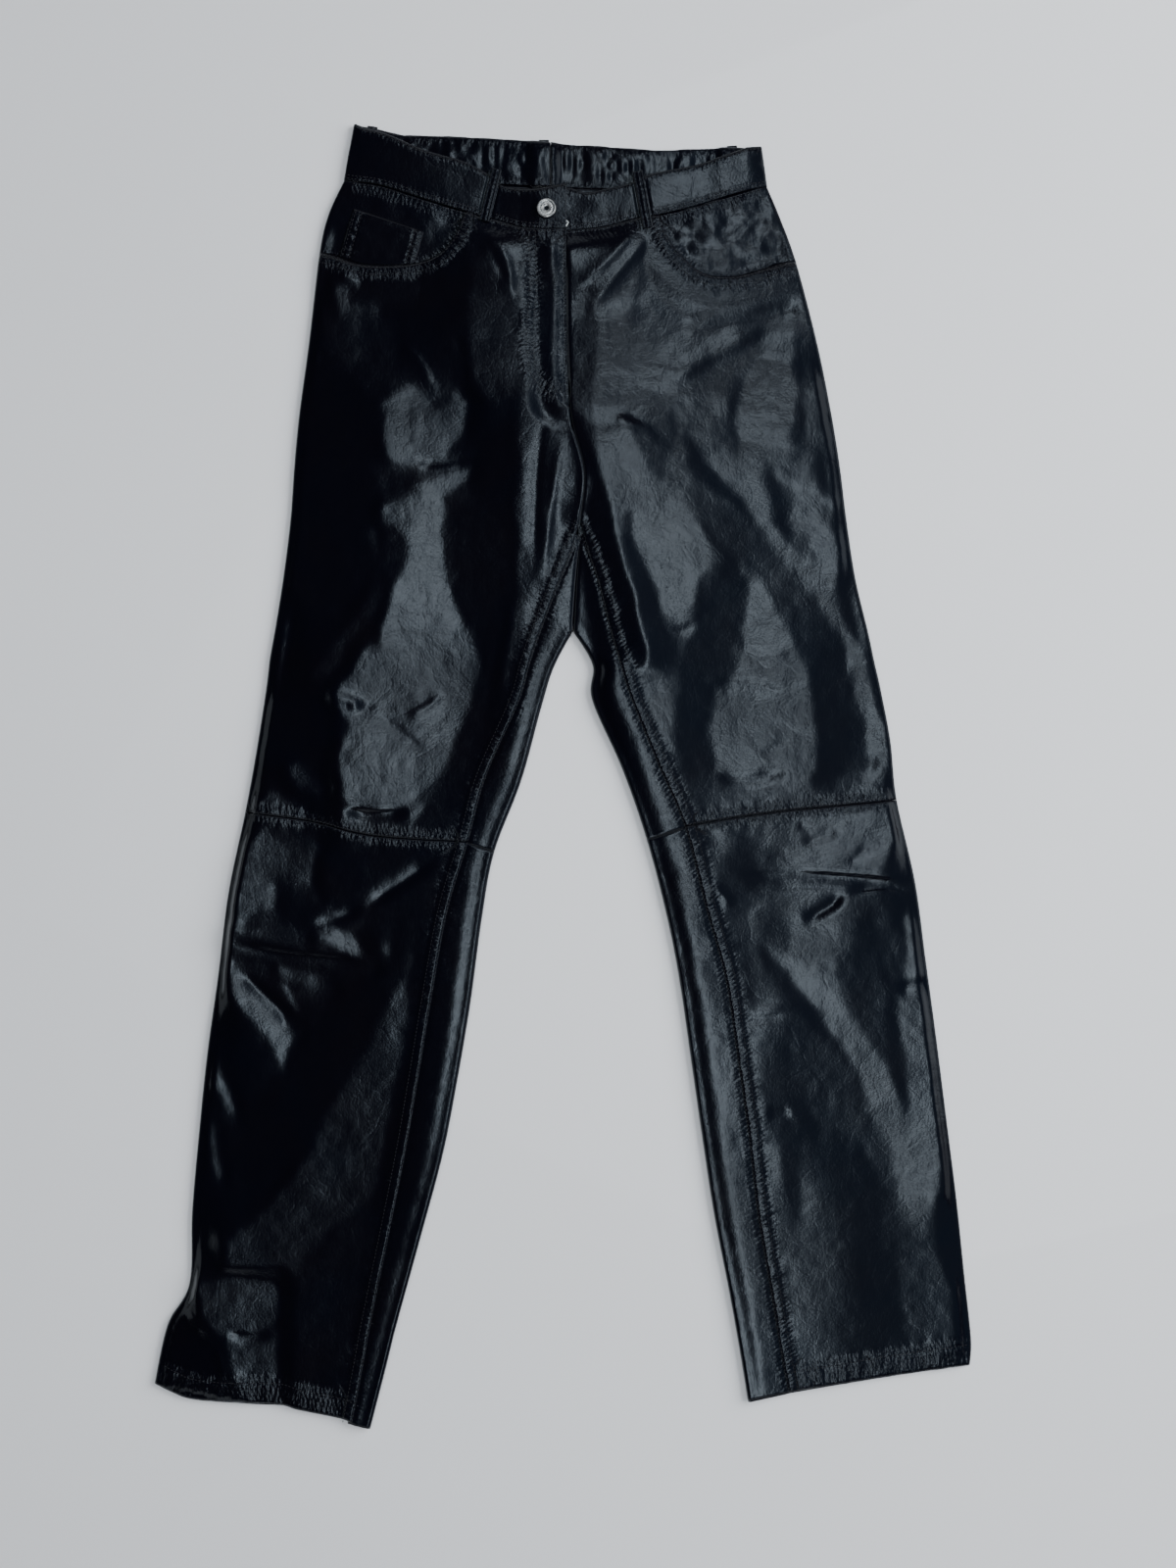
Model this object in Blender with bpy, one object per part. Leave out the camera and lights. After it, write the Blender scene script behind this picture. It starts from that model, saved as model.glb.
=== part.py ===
"""Leather trousers lying flat with the front up, waist towards +Y, on a floor at Z = 0.

Every leather piece is a wall of constant thickness through sections across the garment.
The back pieces lie on the floor, turn over at the inner edge of each leg and come up to the
inseam; the front pieces lie on them, and the waistband, loops and pockets lie on those.
Right and left are the wearer's, so the right leg has negative X. Tables are in millimetres.
"""

import math
from collections import namedtuple

import bmesh
import bpy
import numpy as np

MM = 0.001

# Leather and how it lies
LEATHER = 1.3  # wall of one layer
BAND_LEATHER = 2.0  # folded layers of the waistband
BAND_FOLD_RADIUS = 2.8
LOOP_LEATHER = 1.5
SEAM_GAP = 0.3
CROSS_GAP = 0.5  # at the seams across the legs
WAIST_GAP = 0.8  # at the waistband's seams
REST_HEIGHT = 3.3  # top of the front where it lies close on the back
LOW_HEIGHT = 2.9  # no hollow goes under this
LOFT = 2.2  # air between the layers away from the edges
LOFT_REACH = 38.0
OUTER_RADIUS = 2.4  # half height of the edge at the outseam
INNER_RADIUS = 3.2  # half height of the fold at the leg's inner edge
OUTER_REACH = 22.0
INNER_REACH = 26.0
POCKET_LIP_HEIGHT = 5.6
FACING_HEIGHT = 3.6
FACING_TUCK = 16.0  # how far the pocket facing runs on under the lip
FLY_TOP_HEIGHT = 7.6
FLY_LOW_HEIGHT = 6.2
FLY_WIDTH = 36.0  # fly edge to its stitched curve
UNDERLAP = 10.5  # left front hidden under the right at the fly
LOOP_HEIGHT = 5.9
LOOP_WIDTH = 9.0
LOOP_BULGE = 1.2
BACK_LOOP_LIFT = 1.7  # the band rides over each loop that lies under it
ZIP_X = -5.5
TAPE_HEIGHT = 3.7
TAPE_THICKNESS = 0.35
SLIDER_Y = 484.0
PULL_START = (-6.9, 481.8)
PULL_TIP = (3.8, 497.6)
PULL_WIDTH = 6.5
PULL_WIRE = 1.3
PULL_THICKNESS = 0.6
PULL_HEIGHTS = (5.1, 4.0)  # underside at the slider and at the tip

RIM_ANGLES = np.radians([0.0, 45.0, 90.0])
FOLD_ANGLES = np.radians([-90.0, -45.0, 0.0, 45.0, 90.0])
MOUTH_SHARE = {"right": 0.6, "left": 0.6}  # share of the front's width along the pocket mouth
UNDER_CELLS = 4
STRIP_CELLS = 3

# Sections across each leg: outer edge, front seam (centre front, then inseam) and inner edge
# (centre back, then the fold), with the mesh rows up to the next section.
Section = namedtuple("Section", "name outer_x outer_y seam_x seam_y inner_x inner_y rows")
RIGHT_SECTIONS = (
    Section("waist", -195.5, 533.5, 3.5, 489.5, -10.5, 528.5, 2),
    Section("yoke", -209.5, 503.0, 3.5, 478.0, -9.0, 498.0, 2),
    Section("pocket", -217.5, 468.0, 3.5, 465.0, -7.0, 465.0, 4),
    Section("hip", -227.0, 388.0, 4.5, 388.0, -2.5, 388.0, 3),
    Section("fly_end", -235.5, 325.5, 8.0, 321.5, 2.0, 323.0, 3),
    Section("seat", -240.0, 278.5, 19.5, 273.0, 5.5, 275.5, 3),
    Section("crotch", -243.5, 230.0, 16.0, 227.5, 8.0, 230.0, 3),
    Section("thigh", -250.0, 177.5, -5.0, 177.5, 10.0, 177.5, 3),
    Section("notch", -257.0, 133.5, -22.5, 132.5, 9.5, 129.5, 2),
    Section("below_notch", -262.0, 105.0, -33.5, 100.0, -7.5, 97.0, 2),
    Section("mid_thigh", -265.5, 76.5, -43.0, 67.0, -18.5, 61.5, 3),
    Section("above_knee", -274.5, 19.5, -72.5, 0.0, -36.5, -4.0, 3),
    Section("knee", -284.0, -32.0, -88.5, -58.5, -60.5, -67.5, 4),
    Section("below_knee", -299.0, -104.0, -107.0, -121.0, -71.5, -126.0, 4),
    Section("calf", -308.0, -176.0, -121.0, -198.0, -82.0, -203.5, 4),
    Section("mid_calf", -318.0, -248.0, -133.0, -270.0, -94.5, -277.0, 3),
    Section("shin", -325.0, -314.5, -144.5, -336.5, -107.0, -340.0, 3),
    Section("low_shin", -331.5, -388.5, -159.5, -412.0, -127.0, -414.5, 3),
    Section("ankle", -334.0, -454.0, -175.0, -487.5, -148.0, -491.0, 2),
    Section("above_hem", -353.5, -491.0, -183.0, -531.5, -158.5, -533.0, 2),
    Section("hem", -365.0, -543.0, -192.0, -578.5, -171.5, -583.5, 0),
)
LEFT_SECTIONS = (
    Section("waist", 183.5, 527.5, 3.5, 489.5, -10.5, 528.5, 2),
    Section("yoke", 195.5, 499.0, 3.5, 478.0, -9.0, 498.0, 2),
    Section("pocket", 209.5, 460.0, 3.5, 465.0, -7.0, 465.0, 4),
    Section("hip", 228.0, 389.0, 4.5, 388.0, -2.5, 388.0, 3),
    Section("fly_end", 240.5, 327.5, 8.0, 321.5, 2.0, 323.0, 3),
    Section("seat", 248.5, 278.5, 19.5, 273.0, 5.5, 275.5, 3),
    Section("crotch", 254.5, 230.0, 16.0, 227.5, 8.0, 230.0, 3),
    Section("thigh", 262.5, 177.5, 34.5, 179.0, 10.0, 177.5, 3),
    Section("notch", 274.0, 129.0, 46.5, 132.5, 9.5, 129.5, 2),
    Section("below_notch", 279.5, 103.0, 55.5, 102.0, 27.0, 99.5, 2),
    Section("mid_thigh", 285.5, 76.5, 64.5, 73.0, 26.5, 68.5, 3),
    Section("above_knee", 294.0, 31.0, 88.0, 15.0, 53.5, 6.5, 3),
    Section("knee", 299.5, -21.0, 113.5, -44.5, 75.5, -57.0, 4),
    Section("below_knee", 316.0, -94.5, 132.0, -115.5, 93.0, -123.5, 4),
    Section("calf", 325.5, -164.0, 149.5, -178.5, 104.5, -181.5, 4),
    Section("mid_calf", 334.5, -230.5, 160.5, -250.5, 115.0, -253.5, 3),
    Section("shin", 344.0, -306.0, 170.5, -321.0, 125.0, -322.5, 3),
    Section("low_shin", 353.0, -378.0, 178.5, -389.5, 135.5, -391.0, 3),
    Section("ankle", 360.0, -445.5, 190.5, -461.0, 149.5, -463.0, 2),
    Section("above_hem", 366.0, -502.5, 200.0, -518.0, 159.5, -519.0, 2),
    Section("hem", 365.0, -526.5, 206.5, -550.5, 166.0, -559.5, 0),
)

# The seat seam shows on top from the crossing of the seams down to the notch between the legs.
SEAT_SEAM = ((17.0, 224.0), (12.5, 177.5), (9.5, 129.5))

# Curved edges, as points (x, y) from the outer side inwards
POCKET_MOUTH = {
    "right": (
        (-217.5, 468.0), (-202.5, 465.0), (-180.5, 458.0), (-152.5, 457.0), (-130.5, 459.0),
        (-113.0, 465.0), (-103.5, 473.0), (-94.5, 485.5), (-87.5, 505.0),
    ),
    "left": (
        (209.5, 460.0), (196.5, 458.5), (173.0, 452.0), (155.5, 447.5), (134.5, 447.5),
        (122.0, 452.0), (110.5, 461.5), (100.0, 473.0), (92.5, 485.5), (88.0, 502.0),
    ),
}
KNEE_SEAM = {
    "right": ((-284, -32), (-227, -40), (-188.5, -50), (-154, -55), (-88.5, -58.5)),
    "left": ((299.5, -21), (239.5, -27), (196.5, -31.5), (154.5, -37.5), (113.5, -44.5)),
}
HEM = {
    "right": (
        (-365, -543), (-346, -552.5), (-329, -557.5), (-289.5, -560.5), (-256.5, -561.5),
        (-237.5, -566.5), (-201.5, -574), (-192, -578.5),
    ),
    "left": ((365, -526.5), (298.5, -536), (253.5, -543), (206.5, -550.5)),
}

# Waistband stations: a point on its top edge, one on its seam, and the height of its outer
# face. The front runs from the fly to the side, the back from the side to the centre.
Station = namedtuple("Station", "top_x top_y seam_x seam_y height")
FRONT_BAND = {
    "right": (
        Station(3.5, 530.0, 3.5, 489.5, 8.0),
        Station(-21.5, 525.5, -21.5, 489.5, 8.0),
        Station(-37.5, 525.5, -38.5, 491.5, 6.4),
        Station(-53.5, 528.5, -57.5, 497.5, 5.4),
        Station(-66.5, 539.0, -73.5, 501.5, 5.2),
        Station(-87.5, 550.0, -89.5, 506.5, 5.2),
        Station(-123.5, 560.5, -123.5, 516.5, 5.2),
        Station(-157.0, 574.5, -161.0, 528.5, 6.3),
        Station(-178.5, 580.0, -184.0, 532.0, 6.3),
    ),
    "left": (
        Station(-25.0, 525.5, -25.0, 489.5, 3.6),
        Station(4.5, 527.5, 4.5, 489.0, 3.7),
        Station(21.5, 523.0, 21.5, 490.5, 3.9),
        Station(39.0, 526.5, 40.5, 493.0, 4.0),
        Station(60.0, 531.0, 67.0, 500.0, 4.8),
        Station(79.0, 539.0, 88.0, 503.0, 5.2),
        Station(119.0, 547.0, 119.0, 510.5, 5.2),
        Station(139.5, 553.5, 144.0, 518.0, 6.3),
        Station(165.0, 562.5, 167.0, 524.5, 6.3),
    ),
}
BAND_SIDE = {
    "right": Station(-186.5, 583.5, -195.5, 533.5, 0.0),
    "left": Station(178.5, 563.5, 183.5, 527.5, 0.0),
}
BACK_BAND = {
    "right": (
        Station(-179.5, 581.5, -188.5, 533.5, 0.0),
        Station(-157.0, 577.0, -161.0, 533.5, 0.0),
        Station(-143.0, 574.0, -145.5, 533.0, 0.0),
        Station(-104.0, 573.0, -105.0, 533.0, 0.0),
        Station(-50.5, 570.5, -51.5, 531.0, 0.0),
        Station(-10.5, 567.0, -10.5, 528.5, 0.0),
    ),
    "left": (
        Station(170.5, 561.5, 175.5, 528.0, 0.0),
        Station(145.0, 562.5, 146.5, 527.5, 0.0),
        Station(119.5, 561.5, 119.5, 526.5, 0.0),
        Station(82.5, 560.5, 82.5, 525.5, 0.0),
        Station(54.5, 562.5, 54.5, 526.5, 0.0),
        Station(27.5, 564.5, 27.5, 527.5, 0.0),
        Station(-10.5, 567.0, -10.5, 528.5, 0.0),
    ),
}
BACK_LOOP_X = {"right": -170.0, "center": -16.5, "left": 152.0}

# Front loops, from the middle of the top end to the middle of the lower end
FRONT_LOOPS = {
    "right": ((-58.5, 542.5), (-70.0, 496.5)),
    "left": ((67.0, 540.5), (76.5, 490.5)),
}

# Folds in the upper layer: start, middle and end of the crest, height (below zero for a
# hollow), and reach on the left and on the right of the way from start to end.
Fold = namedtuple("Fold", "name x0 y0 x1 y1 x2 y2 height left right")
FOLDS = (
    Fold("left hip diagonal", 87, 303, 172, 217, 281, 77, 6.0, 24, 15),
    Fold("left hip hollow", 60, 309, 141, 217, 245, 63, -2.5, 14, 14),
    Fold("left upper crease", 64, 337, 121, 290, 241, 248, 3.0, 13, 13),
    Fold("left thigh hollow", 170, 179, 121, 124, 110, 2, -2.0, 22, 22),
    Fold("left knee top", 178, 90, 181, 46, 185, -7, 4.0, 42, 42),
    Fold("left above seam", 137, -1, 168, -4, 201, 4, 2.0, 11, 11),
    Fold("left crotch edge", 13, 327, 42, 239, 77, 81, 7.0, 26, 12),
    Fold("left crotch hollow", 10, 309, 26, 239, 63, 125, -3.0, 11, 11),
    Fold("left fly gather one", 71, 484, 46, 465, 29, 427, 2.0, 11, 11),
    Fold("left fly gather two", 102, 432, 67, 405, 30, 388, 1.6, 13, 13),
    Fold("left hip swell", 172, 423, 150, 362, 172, 318, 2.6, 38, 38),
    Fold("left knee ridge", 128, -58, 198, -66, 297, -52, 3.2, 12, 12),
    Fold("left knee crease", 128, -73, 197, -88, 308, -88, -3.5, 10, 10),
    Fold("left knee lip", 316, -103, 251, -102, 212, -134, 4.5, 12, 12),
    Fold("left calf diagonal", 177, -138, 269, -235, 317, -437, 4.5, 30, 24),
    Fold("left inner calf", 148, -147, 168, -235, 177, -340, 2.2, 16, 16),
    Fold("left shin diagonal", 229, -274, 277, -327, 312, -380, 2.2, 14, 14),
    Fold("left ankle swell", 269, -384, 260, -445, 277, -507, 2.6, 45, 45),
    Fold("right hip patch", -166, 327, -126, 322, -78, 305, 4.0, 24, 24),
    Fold("right hip hollow", -148, 270, -113, 274, -72, 290, -3.0, 11, 11),
    Fold("right hip ridge", -148, 256, -109, 263, -69, 283, 3.2, 12, 12),
    Fold("right thigh hollow", -179, 228, -144, 228, -109, 234, -2.5, 12, 12),
    Fold("right thigh swell", -130, 208, -157, 116, -148, -7, 5.0, 42, 42),
    Fold("right crotch ridge one", -2, 318, -30, 252, -25, 158, 4.6, 12, 12),
    Fold("right crotch ridge two", 13, 309, 23, 256, -2, 204, 4.0, 11, 11),
    Fold("right crotch dip", 5, 296, -9, 243, -16, 177, -2.0, 9, 9),
    Fold("right loop crease", -73, 484, -58, 458, -45, 414, 1.8, 11, 11),
    Fold("right hip side", -201, 445, -195, 419, -205, 379, 2.2, 14, 14),
    Fold("right belly swell", -117, 432, -91, 388, -65, 344, 2.2, 36, 36),
    Fold("right knee lip", -205, -38, -166, -46, -128, -38, 4.5, 11, 11),
    Fold("right knee curve", -109, -70, -144, -99, -227, -132, 3.6, 13, 13),
    Fold("right side bulge", -296, -105, -253, -114, -201, -116, 3.6, 13, 13),
    Fold("right side crease", -302, -128, -258, -137, -209, -141, -3.5, 9, 9),
    Fold("right side roll", -299, -152, -231, -152, -163, -170, 4.6, 15, 15),
    Fold("right calf one", -303, -172, -271, -200, -230, -233, 3.0, 14, 14),
    Fold("right calf two", -316, -252, -300, -277, -282, -302, 2.4, 13, 13),
    Fold("right shin swell", -201, -173, -196, -296, -240, -437, 3.4, 36, 36),
    Fold("right hem flap", -328, -445, -340, -485, -345, -535, 4.0, 12, 12),
    Fold("right hem crease", -319, -485, -309, -514, -300, -540, -3.0, 10, 10),
    Fold("right ankle swell", -258, -454, -240, -507, -240, -551, 2.2, 40, 40),
)


def clear_scene():
    for item in list(bpy.data.objects):
        bpy.data.objects.remove(item, do_unlink=True)


def finish_material(name, color, roughness, metallic=0.0):
    material = bpy.data.materials.new(name)
    material.use_nodes = True
    shader = material.node_tree.nodes["Principled BSDF"]
    shader.inputs["Base Color"].default_value = (*color, 1.0)
    shader.inputs["Roughness"].default_value = roughness
    shader.inputs["Metallic"].default_value = metallic
    return material


# Curves


def smooth_step(low, high, value):
    share = np.clip((value - low) / (high - low), 0.0, 1.0)
    return share * share * (3.0 - 2.0 * share)


def curve_through(points, place):
    """The smooth curve through the points, where place counts points from 0."""
    points = np.asarray(points, float)
    place = np.clip(np.asarray(place, float), 0.0, len(points) - 1.0)
    index = np.minimum(place.astype(int), len(points) - 2)
    share = (place - index)[..., None]
    before = points[np.maximum(index - 1, 0)]
    start = points[index]
    end = points[index + 1]
    after = points[np.minimum(index + 2, len(points) - 1)]
    slope = end - before
    bend = 2.0 * before - 5.0 * start + 4.0 * end - after
    twist = 3.0 * (start - end) + after - before
    return start + 0.5 * share * (slope + share * (bend + share * twist))


def by_length(points, share):
    """Points at equal shares of the curve's length."""
    dense = curve_through(points, np.linspace(0.0, len(points) - 1.0, 20 * len(points)))
    steps = np.hypot(*np.diff(dense, axis=0).T)
    walked = np.concatenate([[0.0], np.cumsum(steps)])
    target = np.asarray(share) * walked[-1]
    return np.stack([np.interp(target, walked, dense[:, axis]) for axis in (0, 1)], axis=-1)


def distance_to(line, points):
    """Distance from each point to a polyline, the share of the way along it, and the side."""
    best = np.full(points.shape[:-1], np.inf)
    along = np.zeros_like(best)
    side = np.ones_like(best)
    count = len(line) - 1
    for index in range(count):
        start = line[index]
        step = line[index + 1] - start
        away = points - start
        share = np.clip(away @ step / (step @ step), 0.0, 1.0)
        offset = away - share[..., None] * step
        distance = np.hypot(offset[..., 0], offset[..., 1])
        nearer = distance < best
        best = np.where(nearer, distance, best)
        along = np.where(nearer, (index + share) / count, along)
        turn = step[0] * away[..., 1] - step[1] * away[..., 0]
        side = np.where(nearer, np.sign(turn), side)
    return best, along, side


class Leg:
    """One side of the garment, with its edges as functions of the section number."""

    def __init__(self, side, sections):
        self.side = side
        self.sections = sections
        self.number = {section.name: index for index, section in enumerate(sections)}
        self.inward = 1.0 if side == "right" else -1.0

    def column(self, first, last, x_name, y_name):
        rows = self.sections[self.number[first]:self.number[last] + 1]
        return np.array([(getattr(row, x_name), getattr(row, y_name)) for row in rows])

    def split_curve(self, place, corner, x_name, y_name):
        """A curve down the leg with a corner at one named section."""
        place = np.asarray(place, float)
        turn = self.number[corner]
        above = curve_through(self.column("waist", corner, x_name, y_name), place)
        below = curve_through(self.column(corner, "hem", x_name, y_name), place - turn)
        return np.where((place <= turn)[..., None], above, below)

    def outer(self, place):
        return curve_through(self.column("waist", "hem", "outer_x", "outer_y"), place)

    def seam(self, place):
        return self.split_curve(place, "crotch", "seam_x", "seam_y")

    def inner(self, place):
        return self.split_curve(place, "notch", "inner_x", "inner_y")

    def rows(self, first, last):
        """Section numbers of the mesh rows between two named sections."""
        places = []
        for index in range(self.number[first], self.number[last]):
            count = self.sections[index].rows
            places.extend(index + step / count for step in range(count))
        return np.array(places + [float(self.number[last])])


RIGHT_LEG = Leg("right", RIGHT_SECTIONS)
LEFT_LEG = Leg("left", LEFT_SECTIONS)
LEGS = (RIGHT_LEG, LEFT_LEG)
LAST = RIGHT_LEG.number["hem"]
NOTCH = RIGHT_LEG.number["notch"]
OUTER_EDGES = [leg.outer(np.linspace(0, LAST, 6 * LAST)) for leg in LEGS]
INNER_EDGES = [leg.inner(np.linspace(NOTCH, LAST, 5 * (LAST - NOTCH))) for leg in LEGS]
FLY_LINE = RIGHT_LEG.seam(np.linspace(0, RIGHT_LEG.number["fly_end"] - 0.3, 12))
MOUTHS = {side: by_length(points, np.linspace(0, 1, 24)) for side, points in POCKET_MOUTH.items()}


def band_seam_y(side, x):
    """Height along Y of the seam between the waistband and the front."""
    stations = np.array([(row.seam_x, row.seam_y) for row in (*FRONT_BAND[side], BAND_SIDE[side])])
    dense = curve_through(stations, np.linspace(0, len(stations) - 1, 80))
    order = np.argsort(dense[:, 0])
    return np.interp(x, dense[order, 0], dense[order, 1])


def back_seam_y(side, x):
    """Height along Y of the seam between the waistband and the back."""
    stations = np.array([(row.seam_x, row.seam_y) for row in (BAND_SIDE[side], *BACK_BAND[side])])
    order = np.argsort(stations[:, 0])
    return np.interp(x, stations[order, 0], stations[order, 1])


# Height of the upper layer


def nearest(lines, points):
    return np.min([distance_to(line, points)[0] for line in lines], axis=0)


def fold_lift(points):
    lift = np.zeros(points.shape[:-1])
    for fold in FOLDS:
        crest = np.array([(fold.x0, fold.y0), (fold.x1, fold.y1), (fold.x2, fold.y2)], float)
        crest = curve_through(crest, np.linspace(0, 2, 13))
        distance, along, side = distance_to(crest, points)
        reach = np.where(side > 0, fold.left, fold.right)
        ends = smooth_step(0.0, 0.3, along) * smooth_step(0.0, 0.3, 1.0 - along)
        lift += fold.height * ends * np.exp(-((distance / reach) ** 2))
    return lift


def top_height(points):
    """Height of the front's outer face over the floor."""
    outer = nearest(OUTER_EDGES, points)
    inner = nearest(INNER_EDGES, points)
    fly = distance_to(FLY_LINE, points)[0]
    free = smooth_step(0.0, 14.0, outer - OUTER_RADIUS)
    free = free * smooth_step(0.0, 12.0, inner - INNER_RADIUS)
    free = free * smooth_step(24.0, 42.0, fly)
    loft = LOFT * (1.0 - np.exp(-((np.minimum(outer, inner) / LOFT_REACH) ** 2)))
    height = REST_HEIGHT + free * (loft + fold_lift(points))
    past_outer = np.maximum(outer - OUTER_RADIUS, 0.0) / OUTER_REACH
    past_inner = np.maximum(inner - INNER_RADIUS, 0.0) / INNER_REACH
    height = height + (2.0 * OUTER_RADIUS - REST_HEIGHT) * np.exp(-(past_outer**2))
    height = height + (2.0 * INNER_RADIUS - REST_HEIGHT) * np.exp(-(past_inner**2))
    softness = 0.3
    return LOW_HEIGHT + softness * np.logaddexp(0.0, (height - LOW_HEIGHT) / softness)


def over_pocket(side, points, height):
    """Raises the front where the pocket facing lies under it."""
    near = 1.0 - smooth_step(25.0, 44.0, distance_to(MOUTHS[side], points)[0])
    return height + near * np.maximum(POCKET_LIP_HEIGHT - height, 0.0)


def over_zip(points, height):
    """Raises the right front over the zip and the left front's edge."""
    edge = distance_to(FLY_LINE, points)[0]
    target = FLY_LOW_HEIGHT + (FLY_TOP_HEIGHT - FLY_LOW_HEIGHT) * smooth_step(
        435.0, 470.0, points[..., 1]
    )
    near = 1.0 - smooth_step(FLY_WIDTH - 12.0, FLY_WIDTH, edge)
    near = near * smooth_step(318.0, 345.0, points[..., 1])
    return height + near * np.maximum(target - height, 0.0)


# Walls


def with_height(points, height):
    return np.concatenate([points, np.asarray(height)[..., None]], axis=-1)


def solid_object(name, mesh, material, sharp=None):
    """Makes an object of the mesh, smooth up to the sharp angle where one is given."""
    bmesh.ops.recalc_face_normals(mesh, faces=mesh.faces)
    data = bpy.data.meshes.new(name)
    mesh.to_mesh(data)
    mesh.free()
    data.materials.append(material)
    if sharp is not None:
        data.shade_smooth()
        data.set_sharp_from_angle(angle=math.radians(sharp))
    item = bpy.data.objects.new(name, data)
    bpy.context.scene.collection.objects.link(item)
    return item


def wall(name, outer, inner, material, present=None):
    """One closed solid between two grids of points, leaving out the cells not present."""
    rows, columns = outer.shape[:2]
    if present is None:
        present = np.ones((rows - 1, columns - 1), bool)
    mesh = bmesh.new()
    made = {}

    def corner(face, row, column):
        key = (face, row, column)
        if key not in made:
            made[key] = mesh.verts.new((outer, inner)[face][row, column] * MM)
        return made[key]

    def filled(row, column):
        return 0 <= row < rows - 1 and 0 <= column < columns - 1 and present[row, column]

    for row in range(rows - 1):
        for column in range(columns - 1):
            if not filled(row, column):
                continue
            ring = [(row, column), (row + 1, column), (row + 1, column + 1), (row, column + 1)]
            beside = [(row, column - 1), (row + 1, column), (row, column + 1), (row - 1, column)]
            mesh.faces.new([corner(0, *place) for place in ring])
            mesh.faces.new([corner(1, *place) for place in reversed(ring)])
            for step in range(4):
                if filled(*beside[step]):
                    continue
                start = ring[step]
                end = ring[(step + 1) % 4]
                mesh.faces.new(
                    [corner(0, *end), corner(0, *start), corner(1, *start), corner(1, *end)]
                )
    return solid_object(name, mesh, material, sharp=50)


def between(start, end, distance):
    """Points at these distances on the lines from start to end, one line a row."""
    way = end - start
    length = np.hypot(way[:, 0], way[:, 1])
    share = distance / length[:, None]
    return start[:, None] + share[..., None] * way[:, None], share


def bow(points, share):
    """How far a curved edge strays from the straight line between its ends."""
    points = np.asarray(points, float)
    straight = points[0] + np.asarray(share)[..., None] * (points[-1] - points[0])
    return by_length(points, share) - straight


def lengths(start, end):
    return np.hypot(*(end - start).T)


def rim_distances(thickness):
    """Distance in from the outer edge of the rounded rim's columns."""
    return OUTER_RADIUS - (OUTER_RADIUS - thickness) * np.cos(RIM_ANGLES)


def rim_heights(thickness, up):
    rise = np.maximum((OUTER_RADIUS - thickness) * np.sin(RIM_ANGLES), 0.5 * SEAM_GAP)
    return OUTER_RADIUS + up * rise


def stretch(first, last, count):
    """Rows of evenly spaced distances between two distances that change from row to row."""
    share = np.linspace(0.0, 1.0, count + 1)
    first = np.broadcast_to(first, np.shape(last))
    return first[:, None] + share * (last - first)[:, None]


# Fronts


def front_solid(name, outer_xy, inner_xy, material, raised):
    """A front panel from its points: rounded rim at the outer edge, then the upper layer."""
    height = raised(outer_xy)
    top = with_height(outer_xy, height)
    under = with_height(inner_xy, height - LEATHER)
    count = len(RIM_ANGLES)
    top[:, :count, 2] = rim_heights(0.0, 1.0)
    under[:, :count, 2] = rim_heights(LEATHER, 1.0)
    return wall(name, top, under, material)


def front_top_edge(leg):
    """Upper edge of the front: along the pocket mouth, then along the waistband to the fly."""
    mouth = MOUTHS[leg.side]
    end_x = 3.2 if leg is RIGHT_LEG else 3.5 - UNDERLAP
    x = np.linspace(mouth[-1, 0], end_x, 16)[1:]
    seam = np.stack([x, band_seam_y(leg.side, x) - WAIST_GAP], axis=-1)
    return np.concatenate([mouth, seam])


def front_columns(leg, length):
    """Distances of the columns in from the outer edge, closer together beside the seam."""
    mouth = stretch(OUTER_RADIUS, MOUTH_SHARE[leg.side] * length, 9)[:, 1:]
    middle = stretch(MOUTH_SHARE[leg.side] * length, length - FLY_WIDTH, 3)[:, 1:-1]
    beside = length[:, None] - np.array([FLY_WIDTH, 22.0, 11.0, 0.0])
    return np.concatenate([mouth, middle, beside], axis=1)


def front_seam(leg, place):
    """The front's edge at the centre and the inseam; the left one runs on under the fly."""
    seam = leg.seam(place)
    shift = np.full(len(seam), -0.5 * SEAM_GAP * leg.inward)
    if leg is LEFT_LEG:
        hidden = smooth_step(345.0, 372.0, seam[:, 1])
        shift = shift - (UNDERLAP + 0.5 * SEAM_GAP) * hidden
    seam[:, 0] += shift
    return seam


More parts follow.
